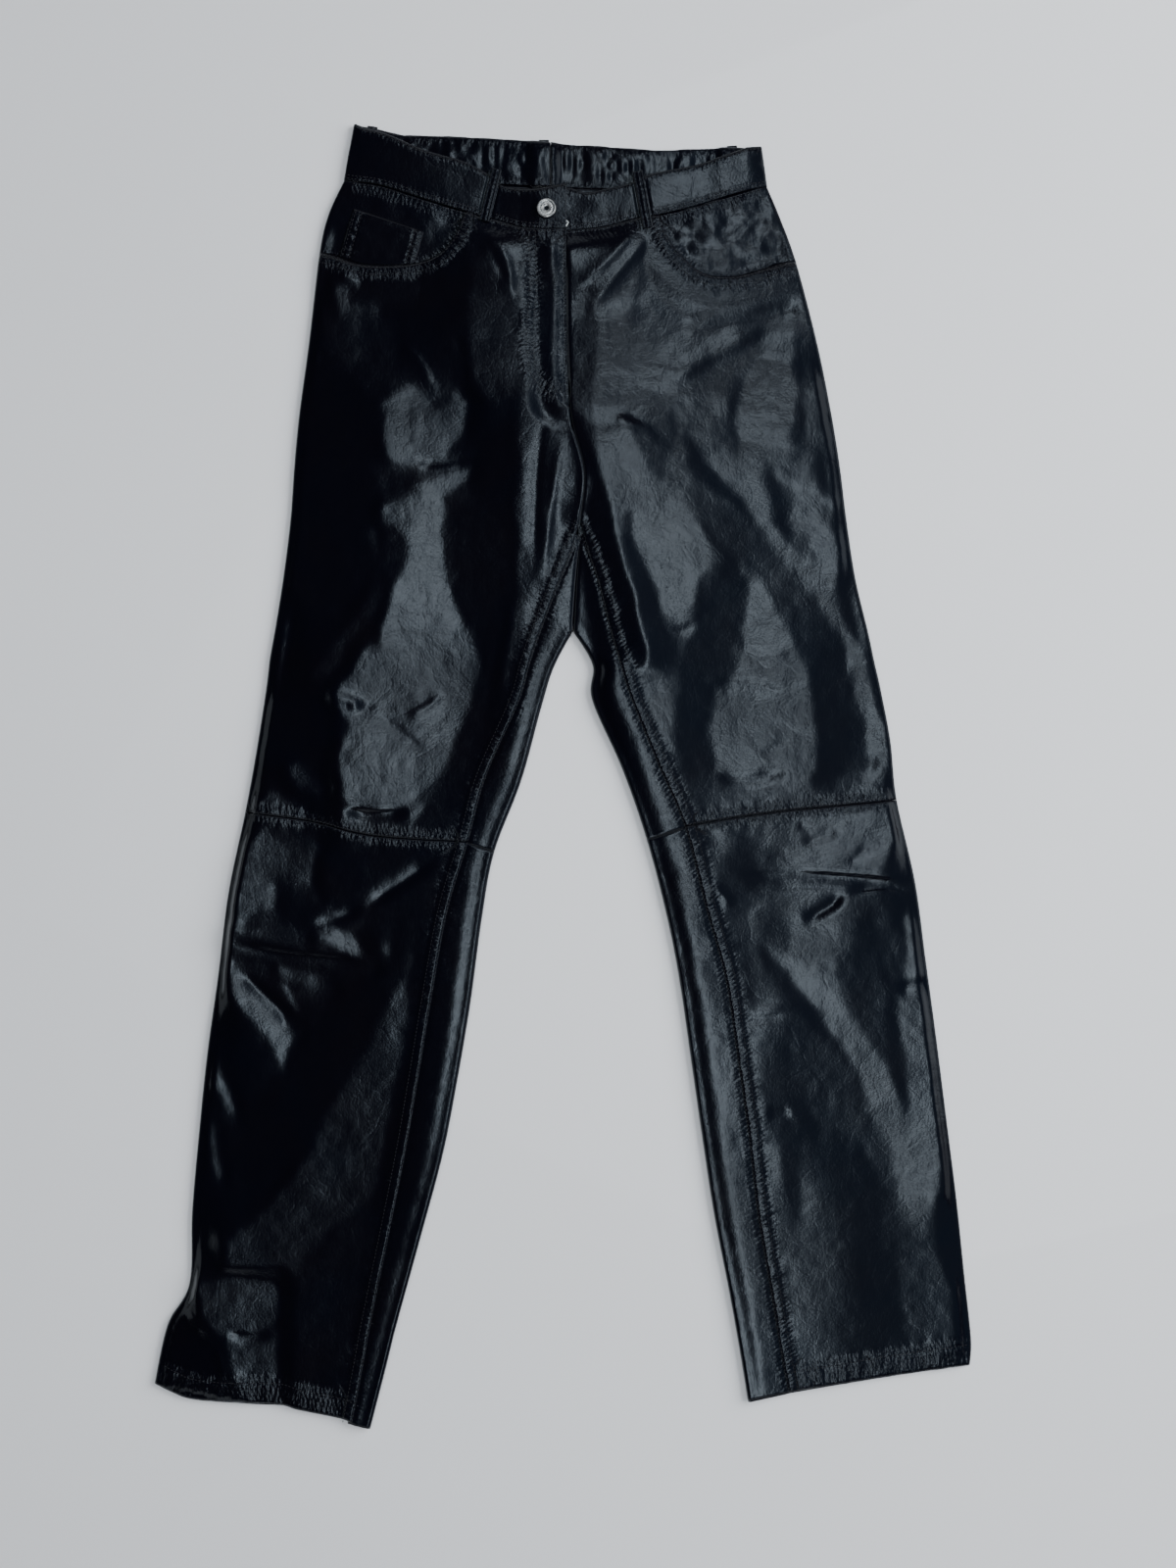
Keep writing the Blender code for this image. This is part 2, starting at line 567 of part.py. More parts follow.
def front_thigh(leg, material):
    place = leg.rows("waist", "knee")
    full = leg.number["seat"]
    # The outer side starts lower, at the pocket, and catches up by the seat.
    first = leg.number["pocket"]
    outer_place = np.where(place < full, first + place * (full - first) / full, place)
    start = leg.outer(outer_place)
    end = front_seam(leg, place)
    top_edge = front_top_edge(leg)
    end[0] = top_edge[-1]
    corner = len(MOUTHS[leg.side]) - 1
    steps = np.hypot(*np.diff(top_edge, axis=0).T)
    flat = front_columns(leg, lengths(start, end))
    # The same share of the columns lies along the mouth at the top and across the leg below.
    knots = np.array([0.0, MOUTH_SHARE[leg.side], 1.0])
    lower = np.concatenate([[0.0], np.cumsum(steps[:corner])])
    upper = np.concatenate([[0.0], np.cumsum(steps[corner:])])
    walked = np.concatenate(
        [knots[1] * lower / lower[-1], knots[1] + (1.0 - knots[1]) * upper[1:] / upper[-1]]
    )

    def top_bow(share):
        edge = np.stack([np.interp(share, walked, top_edge[:, axis]) for axis in (0, 1)], axis=-1)
        return edge - (top_edge[0] + share[..., None] * (top_edge[-1] - top_edge[0]))

    fade_top = np.clip(1.0 - place / full, 0.0, 1.0)[:, None, None]
    fade_low = smooth_step(leg.number["mid_thigh"], leg.number["knee"], place)[:, None, None]
    grids = []
    for thickness in (0.0, LEATHER):
        rim = np.broadcast_to(rim_distances(thickness), (len(place), len(RIM_ANGLES)))
        points, share = between(start, end, np.concatenate([rim, flat], axis=1))
        points = points + fade_top * top_bow(share) + fade_low * bow(KNEE_SEAM[leg.side], share)
        points[-1, :, 1] += 0.5 * CROSS_GAP
        grids.append(points)

    def raised(points):
        height = over_pocket(leg.side, points, top_height(points))
        return over_zip(points, height) if leg is RIGHT_LEG else height

    return front_solid(f"front_thigh_{leg.side}", *grids, material, raised)


def front_shin(leg, material):
    place = leg.rows("knee", "hem")
    start = leg.outer(place)
    end = front_seam(leg, place)
    flat = front_columns(leg, lengths(start, end))
    fade_top = 1.0 - smooth_step(leg.number["knee"], leg.number["mid_calf"], place)
    fade_low = smooth_step(leg.number["low_shin"], leg.number["hem"], place)
    grids = []
    for thickness in (0.0, LEATHER):
        rim = np.broadcast_to(rim_distances(thickness), (len(place), len(RIM_ANGLES)))
        points, share = between(start, end, np.concatenate([rim, flat], axis=1))
        points = points + fade_top[:, None, None] * bow(KNEE_SEAM[leg.side], share)
        points = points + fade_low[:, None, None] * bow(HEM[leg.side], share)
        points[0, :, 1] -= 0.5 * CROSS_GAP
        grids.append(points)
    return front_solid(f"front_shin_{leg.side}", *grids, material, top_height)


# Backs


def back_points(leg, place, thickness):
    """Points of a back panel: flat on the floor, round the inner edge and up to the inseam."""
    start = leg.outer(place)
    edge = leg.inner(place)
    edge[:, 0] -= 0.7 * SEAM_GAP * leg.inward
    seam = leg.seam(place)
    seam[:, 0] += 0.5 * SEAM_GAP * leg.inward
    above = place < NOTCH
    # Above the notch the underside ends at the centre back seam and the strip on top at the
    # seat seam; below it both meet in the fold.
    turn = np.where(above, 0.0, INNER_RADIUS)
    length = lengths(start, edge)
    rim = np.broadcast_to(rim_distances(thickness), (len(place), len(RIM_ANGLES)))
    under = stretch(OUTER_RADIUS, length - turn, UNDER_CELLS)[:, 1:]
    flat, _ = between(start, edge, np.concatenate([rim, under], axis=1))
    flat = with_height(flat, np.full(flat.shape[:2], thickness))
    flat[:, :len(RIM_ANGLES), 2] = rim_heights(thickness, -1.0)
    radius = INNER_RADIUS - thickness
    depth = INNER_RADIUS - radius * np.cos(FOLD_ANGLES[1:-1])
    round_edge, _ = between(edge, start, np.broadcast_to(depth, (len(place), len(depth))))
    rise = np.broadcast_to(INNER_RADIUS + radius * np.sin(FOLD_ANGLES[1:-1]), round_edge.shape[:2])
    round_edge = with_height(round_edge, rise)
    seat_share = np.clip((place - leg.number["crotch"]) / (NOTCH - leg.number["crotch"]), 0, 1)
    strip_start = np.where(above[:, None], curve_through(SEAT_SEAM, 2.0 * seat_share), edge)
    strip_start[above, 0] -= 0.7 * SEAM_GAP * leg.inward
    across = stretch(turn, lengths(strip_start, seam), STRIP_CELLS)
    strip, _ = between(strip_start, seam, across)
    strip = with_height(strip, top_height(strip) - thickness)
    return np.concatenate([flat, round_edge, strip], axis=1)


def back_cells(leg, place):
    """Cells of the back: no fold above the notch, and no strip above the crossing seams."""
    flat = len(RIM_ANGLES) - 1 + UNDER_CELLS
    fold = len(FOLD_ANGLES) - 1
    present = np.ones((len(place) - 1, flat + fold + STRIP_CELLS), bool)
    present[place[:-1] < NOTCH, flat:flat + fold] = False
    present[place[:-1] < leg.number["thigh"] - 0.75, flat + fold:] = False
    return present


def back_panel(name, leg, first, last, material):
    place = leg.rows(first, last)
    outer = back_points(leg, place, 0.0)
    inner = back_points(leg, place, LEATHER)
    for points in (outer, inner):
        if first == "waist":
            points[0, :, 1] = back_seam_y(leg.side, points[0, :, 0]) - WAIST_GAP
            points[-1, :, 1] += 0.5 * CROSS_GAP
        else:
            points[0, :, 1] -= 0.5 * CROSS_GAP
            ends = slice(0, len(RIM_ANGLES) + UNDER_CELLS)
            share = (points[-1, ends, 0] - points[-1, 0, 0]) / (
                points[-1, ends.stop - 1, 0] - points[-1, 0, 0]
            )
            points[-1, ends, :2] += bow(HEM[leg.side], share)
    return wall(name, outer, inner, material, back_cells(leg, place))


# Waistband and loops


def loop_hump(x):
    """How far the band is lifted off the floor by the loops under it."""
    away = np.min([np.abs(x - place) for place in BACK_LOOP_X.values()], axis=0)
    return BACK_LOOP_LIFT * (1.0 - smooth_step(6.6, 17.0, away))


def back_band_columns(leg):
    """The band's columns along the back, from the side to the centre, with its loop humps."""
    stations = np.array(BACK_BAND[leg.side])
    reaches = (-17.0, -11.8, -6.6, 6.6, 11.8, 17.0)
    x = [place + reach for place in BACK_LOOP_X.values() for reach in reaches]
    x = np.concatenate([x, np.linspace(stations[0, 0], stations[-1, 0], 7)[1:-1]])
    low, high = sorted(stations[[0, -1], 0])
    x = np.sort(x[(x > low + 2.0) & (x < high - 2.0)])
    x = x[np.append(np.diff(x) > 2.0, True)][::int(leg.inward)]
    end = stations[-1, 0] - 0.5 * SEAM_GAP * leg.inward
    x = np.concatenate([stations[:1, 0], x, [end]])
    order = np.argsort(stations[:, 0])
    rest = [np.interp(x, stations[order, 0], stations[order, axis]) for axis in (1, 2, 3)]
    return np.stack([x, *rest, loop_hump(x)], axis=-1)


def waistband(leg, material):
    """One half of the band: along the front, over the side fold and along the back."""
    stations = np.array(FRONT_BAND[leg.side])
    place = np.linspace(0, len(stations) - 1, 2 * len(stations) - 1)
    front = curve_through(stations, place)
    front[:, 4] = np.interp(place, np.arange(len(stations)), stations[:, 4])
    side = BAND_SIDE[leg.side]
    back = back_band_columns(leg)
    grids = []
    for thickness in (0.0, BAND_LEATHER):
        radius = BAND_FOLD_RADIUS - thickness
        fold = []
        for angle in np.radians([60.0, 30.0, 0.0, -30.0, -60.0, -90.0]):
            inward = (BAND_FOLD_RADIUS - radius * math.cos(angle)) * leg.inward
            height = BAND_FOLD_RADIUS + radius * math.sin(angle)
            fold.append(
                (side.top_x + inward, side.top_y, side.seam_x + inward, side.seam_y, height)
            )
        columns = np.concatenate([front - (0, 0, 0, 0, thickness), fold, back])
        columns[-len(back):, 4] += thickness
        share = np.linspace(0.0, 1.0, 4)[:, None, None]
        points = columns[:, 0:2] + share * (columns[:, 2:4] - columns[:, 0:2])
        grids.append(with_height(points, np.broadcast_to(columns[:, 4], points.shape[:2])))
    return wall(f"waistband_{leg.side}", *grids, material)


def strap(name, start, end, width, heights, thickness, material):
    """A flat strip from start to end, with a height for each row along it."""
    start = np.array(start)
    end = np.array(end)
    way = (end - start) / np.hypot(*(end - start))
    across = np.array([-way[1], way[0]])
    share = np.linspace(0.0, 1.0, len(heights))[:, None, None]
    offset = np.linspace(-0.5 * width, 0.5 * width, 3)[None, :, None]
    points = start + share * (end - start) + offset * across
    height = np.broadcast_to(np.array(heights)[:, None], points.shape[:2])
    top = with_height(points, height + thickness)
    under = with_height(points, height)
    return wall(name, top, under, material)


def belt_loops(material):
    for side, (start, end) in FRONT_LOOPS.items():
        bulge = LOOP_BULGE * np.sin(np.linspace(0.0, math.pi, 9))
        name = f"belt_loop_front_{side}"
        strap(name, start, end, LOOP_WIDTH, LOOP_HEIGHT + bulge, LOOP_LEATHER, material)
    above_edge = 3.0
    for name, x in BACK_LOOP_X.items():
        side = "left" if name == "left" else "right"
        back = np.array(BACK_BAND[side])
        back = back[np.argsort(back[:, 0])]
        top = np.interp(x, back[:, 0], back[:, 1]) + above_edge
        low_x = np.interp(x, back[:, 0], back[:, 2])
        low = np.interp(x, back[:, 0], back[:, 3]) + 0.5
        heights = np.zeros(5)
        strap(
            f"belt_loop_back_{name}", (x, top), (low_x, low), LOOP_WIDTH, heights,
            BACK_LOOP_LIFT - SEAM_GAP, material,
        )


# Pockets


def facing_height(side, points):
    """Height of the pocket facing's outer face."""
    outer = nearest(OUTER_EDGES, points)
    mouth, _, turn = distance_to(MOUTHS[side], points)
    seen = np.where(turn * (1.0 if side == "right" else -1.0) > 0, mouth, 0.0)
    height = FACING_HEIGHT + 1.1 * smooth_step(10.0, 30.0, seen)
    edge = np.maximum(outer - OUTER_RADIUS, 0.0)
    rim = 1.0 - smooth_step(0.0, 10.0, edge)
    return height + rim * (2.0 * OUTER_RADIUS - height)


def pocket_facing(leg, material):
    """The piece seen in the pocket, from the band's seam to some way under the mouth's lip."""
    side = leg.side
    mouth = MOUTHS[side]
    hidden = FACING_TUCK * smooth_step(22.0, 42.0, nearest(OUTER_EDGES, mouth))
    clear = 1.6 * (hidden < 0.1)
    lower = mouth + np.stack([np.zeros_like(hidden), clear - hidden], axis=-1)
    lower = lower[mouth[:, 1] - hidden < 470.0]
    inner_x = mouth[-1, 0] + 12.0 * leg.inward
    lower_edge = np.concatenate([lower, [(inner_x, 466.0)]])
    down = np.linspace(0.0, 1.0, 7)
    start = leg.outer(down * leg.number["pocket"])
    start[0, 1] -= 0.5
    start[-1] = lower[0]
    end_top = np.array([inner_x, band_seam_y(side, inner_x) - 0.5])
    end = end_top + down[:, None] * (lower_edge[-1] - end_top)
    flat = stretch(15.0, lengths(start, end), 8)
    fade = down[:, None, None]
    grids = []
    for thickness in (0.0, LEATHER):
        rim = np.broadcast_to(rim_distances(thickness), (len(down), len(RIM_ANGLES)))
        points, share = between(start, end, np.concatenate([rim, flat], axis=1))
        straight = start[0] + share[..., None] * (end_top - start[0])
        top_line = straight.copy()
        top_line[..., 1] = band_seam_y(side, straight[..., 0]) - 0.5
        points = points + (1.0 - fade) * (top_line - straight) + fade * bow(lower_edge, share)
        grids.append(points)

    def raised(points):
        return facing_height(side, points)

    return front_solid(f"pocket_facing_{side}", *grids, material, raised)


def coin_pocket(material):
    """A small pocket on the right facing, running down into the pocket mouth."""
    corners = np.array([(-186.5, 508.0), (-123.5, 487.0)])
    low_x = np.array([-200.0, -131.5])
    share = np.linspace(0.0, 1.0, 9)
    top = corners[0] + share[:, None] * (corners[1] - corners[0])
    x = low_x[0] + share * (low_x[1] - low_x[0])
    mouth = MOUTHS["right"]
    low = np.stack([x, np.interp(x, mouth[:, 0], mouth[:, 1]) + 1.4], axis=-1)
    down = np.linspace(0.0, 1.0, 5)[:, None, None]
    points = top + down * (low - top)
    height = facing_height("right", points) + 2.2 * SEAM_GAP
    return wall(
        "coin_pocket", with_height(points, height + LEATHER), with_height(points, height), material
    )


# Metal


def zip_tape(material):
    strap(
        "zip_tape", (ZIP_X, 487.0), (ZIP_X, 350.0), 16.0, np.full(6, TAPE_HEIGHT),
        TAPE_THICKNESS, material,
    )


def zip_slider(metal):
    """The slider's body on the tape, with the post that the pull hangs on."""
    low = TAPE_HEIGHT + TAPE_THICKNESS + SEAM_GAP
    mesh = bmesh.new()
    grid_x = ZIP_X + np.array([-3.6, -0.8, 0.8, 3.6])
    grid_y = SLIDER_Y + np.array([-4.2, -0.8, 0.8, 4.2])
    levels = (low, low + 0.45, low + 1.6)
    made = {}

    def corner(column, row, level):
        key = (column, row, level)
        if key not in made:
            made[key] = mesh.verts.new(
                (grid_x[column] * MM, grid_y[row] * MM, levels[level] * MM)
            )
        return made[key]

    for column in range(3):
        for row in range(3):
            post = column == 1 and row == 1
            ring = [(column, row), (column + 1, row), (column + 1, row + 1), (column, row + 1)]
            mesh.faces.new([corner(*place, 0) for place in ring])
            mesh.faces.new([corner(*place, 2 if post else 1) for place in ring])
            if post:
                for start, end in zip(ring, ring[1:] + ring[:1]):
                    mesh.faces.new(
                        [corner(*start, 1), corner(*end, 1), corner(*end, 2), corner(*start, 2)]
                    )
    outline = [(0, 0), (1, 0), (2, 0), (3, 0), (3, 1), (3, 2), (3, 3)]
    outline += [(2, 3), (1, 3), (0, 3), (0, 2), (0, 1)]
    for start, end in zip(outline, outline[1:] + outline[:1]):
        mesh.faces.new([corner(*start, 0), corner(*end, 0), corner(*end, 1), corner(*start, 1)])
    return solid_object("zip_slider", mesh, metal)


def zip_pull(metal):
    """A flat frame that hangs on the post and leans down past the fly's edge."""
    start = np.array(PULL_START)
    tip = np.array(PULL_TIP)
    reach = np.hypot(*(tip - start))
    way = (tip - start) / reach
    across = np.array([-way[1], way[0]])
    mesh = bmesh.new()
    made = {}
    for which, inset in enumerate((0.0, PULL_WIRE)):
        for step in range(12):
            # Each corner of the frame is cut in two steps.
            quarter, part = divmod(step, 3)
            side_x = (1, -1, -1, 1)[quarter]
            side_y = (1, 1, -1, -1)[quarter]
            radius = 1.5 - 0.9 * inset
            angle = math.radians(90.0 * quarter + 45.0 * part)
            half_long = 0.5 * reach - inset
            half_wide = 0.5 * PULL_WIDTH - inset
            along = side_x * (half_long - radius) + radius * math.cos(angle)
            aside = side_y * (half_wide - radius) + radius * math.sin(angle)
            place = 0.5 * (start + tip) + along * way + aside * across
            slope = np.clip((along + half_long - 6.5) / 8.0, 0.0, 1.0)
            rise = PULL_HEIGHTS[0] + (PULL_HEIGHTS[1] - PULL_HEIGHTS[0]) * slope
            for level in (0, 1):
                height = rise + level * PULL_THICKNESS
                made[which, step, level] = mesh.verts.new((*(place * MM), height * MM))
    for step in range(12):
        after = (step + 1) % 12
        for level in (0, 1):
            mesh.faces.new(
                [
                    made[0, step, level], made[0, after, level],
                    made[1, after, level], made[1, step, level],
                ]
            )
        for which in (0, 1):
            mesh.faces.new(
                [
                    made[which, step, 0], made[which, after, 0],
                    made[which, after, 1], made[which, step, 1],
                ]
            )
    return solid_object("zip_pull", mesh, metal)


def round_solid(name, profile, center, material):
    """A solid of revolution about Z, from a closed profile of (radius, height) points."""
    mesh = bmesh.new()
    ring = [mesh.verts.new((radius * MM, 0.0, height * MM)) for radius, height in profile]
    edges = [mesh.edges.new((a, b)) for a, b in zip(ring, ring[1:] + ring[:1])]
    bmesh.ops.spin(
        mesh, geom=ring + edges, cent=(0, 0, 0), axis=(0, 0, 1), angle=math.tau, steps=24,
        use_merge=True,
    )
    bmesh.ops.remove_doubles(mesh, verts=mesh.verts, dist=1e-6)
    item = solid_object(name, mesh, material, sharp=40)
    item.location = [value * MM for value in center]
    return item


BUTTON_CENTER = (-14.0, 506.5, 8.0 + SEAM_GAP)
BUTTON_PROFILE = (
    (2.2, 0.0), (4.0, 0.0), (4.0, 0.9), (7.8, 1.0), (8.5, 1.7), (8.3, 2.5), (7.2, 3.0),
    (5.0, 3.0), (3.9, 2.6), (3.4, 1.8), (2.2, 1.6),
)


def build():
    clear_scene()
    leather = finish_material("black_leather", (0.012, 0.013, 0.016), 0.38)
    tape = finish_material("zip_tape", (0.01, 0.01, 0.012), 0.9)
    metal = finish_material("silver_metal", (0.66, 0.66, 0.64), 0.28, 1.0)
    for leg in LEGS:
        front_thigh(leg, leather)
        front_shin(leg, leather)
        back_panel(f"back_thigh_{leg.side}", leg, "waist", "knee", leather)
        back_panel(f"back_shin_{leg.side}", leg, "knee", "hem", leather)
        waistband(leg, leather)
        pocket_facing(leg, leather)
    coin_pocket(leather)
    belt_loops(leather)
    zip_tape(tape)
    zip_slider(metal)
    zip_pull(metal)
    round_solid("button", BUTTON_PROFILE, BUTTON_CENTER, metal)


build()
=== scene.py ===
"""Black leather trousers lying flat with the front up, waist towards +Y.

Every leather piece is a thin shell on the form of its solid. Tables are in millimetres, in the
solids' own frame. Right and left are the wearer's, so the right leg has negative X.
"""

import math
from collections import namedtuple

import bmesh
import bpy
import numpy as np
from mathutils import Matrix, Vector


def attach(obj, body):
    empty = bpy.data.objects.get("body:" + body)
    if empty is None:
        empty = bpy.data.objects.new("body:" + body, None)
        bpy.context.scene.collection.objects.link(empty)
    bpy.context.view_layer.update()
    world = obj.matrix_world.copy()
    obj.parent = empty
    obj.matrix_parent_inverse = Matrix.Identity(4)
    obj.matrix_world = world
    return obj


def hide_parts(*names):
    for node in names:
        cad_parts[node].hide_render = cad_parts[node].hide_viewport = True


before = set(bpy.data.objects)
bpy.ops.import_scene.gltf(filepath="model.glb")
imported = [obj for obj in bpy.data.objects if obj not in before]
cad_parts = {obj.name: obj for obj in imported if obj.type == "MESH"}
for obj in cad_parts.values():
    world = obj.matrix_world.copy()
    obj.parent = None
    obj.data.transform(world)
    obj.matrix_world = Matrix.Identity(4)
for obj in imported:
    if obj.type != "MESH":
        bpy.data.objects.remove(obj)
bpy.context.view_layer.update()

MM = 0.001
LEATHER = 1.1  # thickness of one shell
BAND_LEATHER = 1.7
LOOP_LEATHER = 1.3
POCKET_LEATHER = 1.0
REST_HEIGHT = 3.3  # top of the front where it lies close on the back
LOW_HEIGHT = 2.9
LOFT = 2.2  # air between the layers away from the edges
LOFT_REACH = 38.0
OUTER_RADIUS = 2.4  # half height of the edge at the outseam
INNER_RADIUS = 3.2  # half height of the fold at the leg's inner edge
BAND_FOLD_RADIUS = 2.8
POCKET_LIP_HEIGHT = 5.6
FACING_HEIGHT = 3.6
FLY_TOP_HEIGHT = 7.6
FLY_LOW_HEIGHT = 6.9
FLY_WIDTH = 40.0
UNDERLAP = 10.5
LAP = 4.4  # the front laps over the back along the inner leg seam
SEAM_GAP = 0.15  # from a piece's edge to the seam line
BAND_GAP = 0.3  # from the waistband's seam to the pieces below it
END_GAP = 0.1  # by which the pieces reach past the seam across the knee
LOOP_HEIGHT = 5.9
LOOP_WIDTH = 9.0
LOOP_BULGE = 1.2
BACK_LOOP_LIFT = 1.7
STITCH_DENT = 0.22  # depth of the groove along a row of stitches
DENT_REACH = 0.9
END_CURL = 0.5  # how far the fronts' ends curl down at the seams across the leg
CURL_REACH = 0.7
THREAD_STEP = 3.3  # from one stitch to the next
THREAD_LENGTH = 2.4
THREAD_RADIUS = 0.34
THREAD_LIFT = 0.12
FRONT_GRID = 2.0  # between mesh lines
BACK_GRID = 2.4
CEILING = 2.6  # over the floor, in metres
CAMERA_HEIGHT = 1.5  # in metres

# Sections across each leg, from the waist down: X and Y of its outer edge, of its front seam and
# of its inner edge
SECTION_NAMES = (
    "waist", "yoke", "pocket", "hip", "fly_end", "seat", "crotch", "thigh", "notch", "below_notch",
    "mid_thigh", "above_knee", "knee", "below_knee", "calf", "mid_calf", "shin", "low_shin",
    "ankle", "above_hem", "hem",
)
NUMBER = {name: index for index, name in enumerate(SECTION_NAMES)}
LAST, NOTCH, CROTCH = NUMBER["hem"], NUMBER["notch"], NUMBER["crotch"]
SECTIONS = {
    "right": (
        (-195.5, 533.5, 3.5, 489.5, -10.5, 528.5), (-209.5, 503, 3.5, 478, -9, 498),
        (-217.5, 468, 3.5, 465, -7, 465), (-227, 388, 4.5, 388, -2.5, 388),
        (-235.5, 325.5, 8, 321.5, 2, 323), (-240, 278.5, 19.5, 273, 5.5, 275.5),
        (-243.5, 230, 16, 227.5, 8, 230), (-250, 177.5, -5, 177.5, 10, 177.5),
        (-257, 133.5, -22.5, 132.5, 9.5, 129.5), (-262, 105, -33.5, 100, -7.5, 97),
        (-265.5, 76.5, -43, 67, -18.5, 61.5), (-274.5, 19.5, -72.5, 0, -36.5, -4),
        (-284, -32, -88.5, -58.5, -60.5, -67.5), (-299, -104, -107, -121, -71.5, -126),
        (-308, -176, -121, -198, -82, -203.5), (-318, -248, -133, -270, -94.5, -277),
        (-325, -314.5, -144.5, -336.5, -107, -340), (-331.5, -388.5, -159.5, -412, -127, -414.5),
        (-334, -454, -175, -487.5, -148, -491), (-353.5, -491, -183, -531.5, -158.5, -533),
        (-365, -543, -192, -578.5, -171.5, -583.5),
    ),
    "left": (
        (183.5, 527.5, 3.5, 489.5, -10.5, 528.5), (195.5, 499, 3.5, 478, -9, 498),
        (209.5, 460, 3.5, 465, -7, 465), (228, 389, 4.5, 388, -2.5, 388),
        (240.5, 327.5, 8, 321.5, 2, 323), (248.5, 278.5, 19.5, 273, 5.5, 275.5),
        (254.5, 230, 16, 227.5, 8, 230), (262.5, 177.5, 34.5, 179, 10, 177.5),
        (274, 129, 46.5, 132.5, 9.5, 129.5), (279.5, 103, 55.5, 102, 27, 99.5),
        (285.5, 76.5, 64.5, 73, 26.5, 68.5), (294, 31, 88, 15, 53.5, 6.5),
        (299.5, -21, 113.5, -44.5, 75.5, -57), (316, -94.5, 132, -115.5, 93, -123.5),
        (325.5, -164, 149.5, -178.5, 104.5, -181.5), (334.5, -230.5, 160.5, -250.5, 115, -253.5),
        (344, -306, 170.5, -321, 125, -322.5), (353, -378, 178.5, -389.5, 135.5, -391),
        (360, -445.5, 190.5, -461, 149.5, -463), (366, -502.5, 200, -518, 159.5, -519),
        (365, -526.5, 206.5, -550.5, 166, -559.5),
    ),
}
SEAT_SEAM = np.array([(17.0, 224.0), (12.5, 177.5), (9.5, 129.5)])
POCKET_MOUTH = {
    "right": (
        (-217.5, 468), (-202.5, 465), (-180.5, 458), (-152.5, 457), (-130.5, 459), (-113, 465),
        (-103.5, 473), (-94.5, 485.5), (-87.5, 505),
    ),
    "left": (
        (209.5, 460), (196.5, 458.5), (173, 452), (155.5, 447.5), (134.5, 447.5), (122, 452),
        (110.5, 461.5), (100, 473), (92.5, 485.5), (88, 502),
    ),
}
KNEE_SEAM = {
    "right": (
        (-284, -32), (-227, -40), (-188.5, -50), (-154, -55), (-88.5, -58.5),
    ),
    "left": (
        (299.5, -21), (239.5, -27), (196.5, -31.5), (154.5, -37.5), (113.5, -44.5),
    ),
}
HEM = {
    "right": (
        (-365, -543), (-346, -552.5), (-329, -557.5), (-289.5, -560.5), (-256.5, -561.5),
        (-237.5, -566.5), (-201.5, -574), (-192, -578.5),
    ),
    "left": (
        (365, -526.5), (298.5, -536), (253.5, -543), (206.5, -550.5),
    ),
}
# Stations along the waistband: X and Y of its top edge and of its seam, and the front's height
FRONT_BAND = {
    "right": (
        (3.5, 530, 3.5, 489.5, 8), (-21.5, 525.5, -21.5, 489.5, 8),
        (-37.5, 525.5, -38.5, 491.5, 6.4), (-53.5, 528.5, -57.5, 497.5, 5.4),
        (-66.5, 539, -73.5, 501.5, 5.2), (-87.5, 550, -89.5, 506.5, 5.6),
        (-123.5, 560.5, -123.5, 516.5, 6.2), (-157, 574.5, -161, 528.5, 6.2),
        (-178.5, 580, -184, 532, 5.9),
    ),
    "left": (
        (-25, 525.5, -25, 489.5, 3.6), (4.5, 527.5, 4.5, 489, 3.7), (21.5, 523, 21.5, 490.5, 3.9),
        (39, 526.5, 40.5, 493, 4), (60, 531, 67, 500, 4.8), (79, 539, 88, 503, 5.2),
        (119, 547, 119, 510.5, 5.2), (139.5, 553.5, 144, 518, 6.3), (165, 562.5, 167, 524.5, 6.3),
    ),
}
BAND_SIDE = {"right": (-186.5, 583.5, -195.5, 533.5), "left": (178.5, 563.5, 183.5, 527.5)}
BACK_BAND = {
    "right": (
        (-179.5, 581.5, -188.5, 533.5), (-157, 577, -161, 533.5), (-143, 574, -145.5, 533),
        (-104, 573, -105, 533), (-50.5, 570.5, -51.5, 531), (-10.5, 567, -10.5, 528.5),
    ),
    "left": (
        (170.5, 561.5, 175.5, 528), (145, 562.5, 146.5, 527.5), (119.5, 561.5, 119.5, 526.5),
        (82.5, 560.5, 82.5, 525.5), (54.5, 562.5, 54.5, 526.5), (27.5, 564.5, 27.5, 527.5),
        (-10.5, 567, -10.5, 528.5),
    ),
}
BACK_LOOP_X = {"right": -170.0, "center": -16.5, "left": 152.0}
FRONT_LOOPS = {
    "right": ((-58.5, 542.5), (-70.0, 496.5)),
    "left": ((67.0, 540.5), (76.5, 490.5)),
}

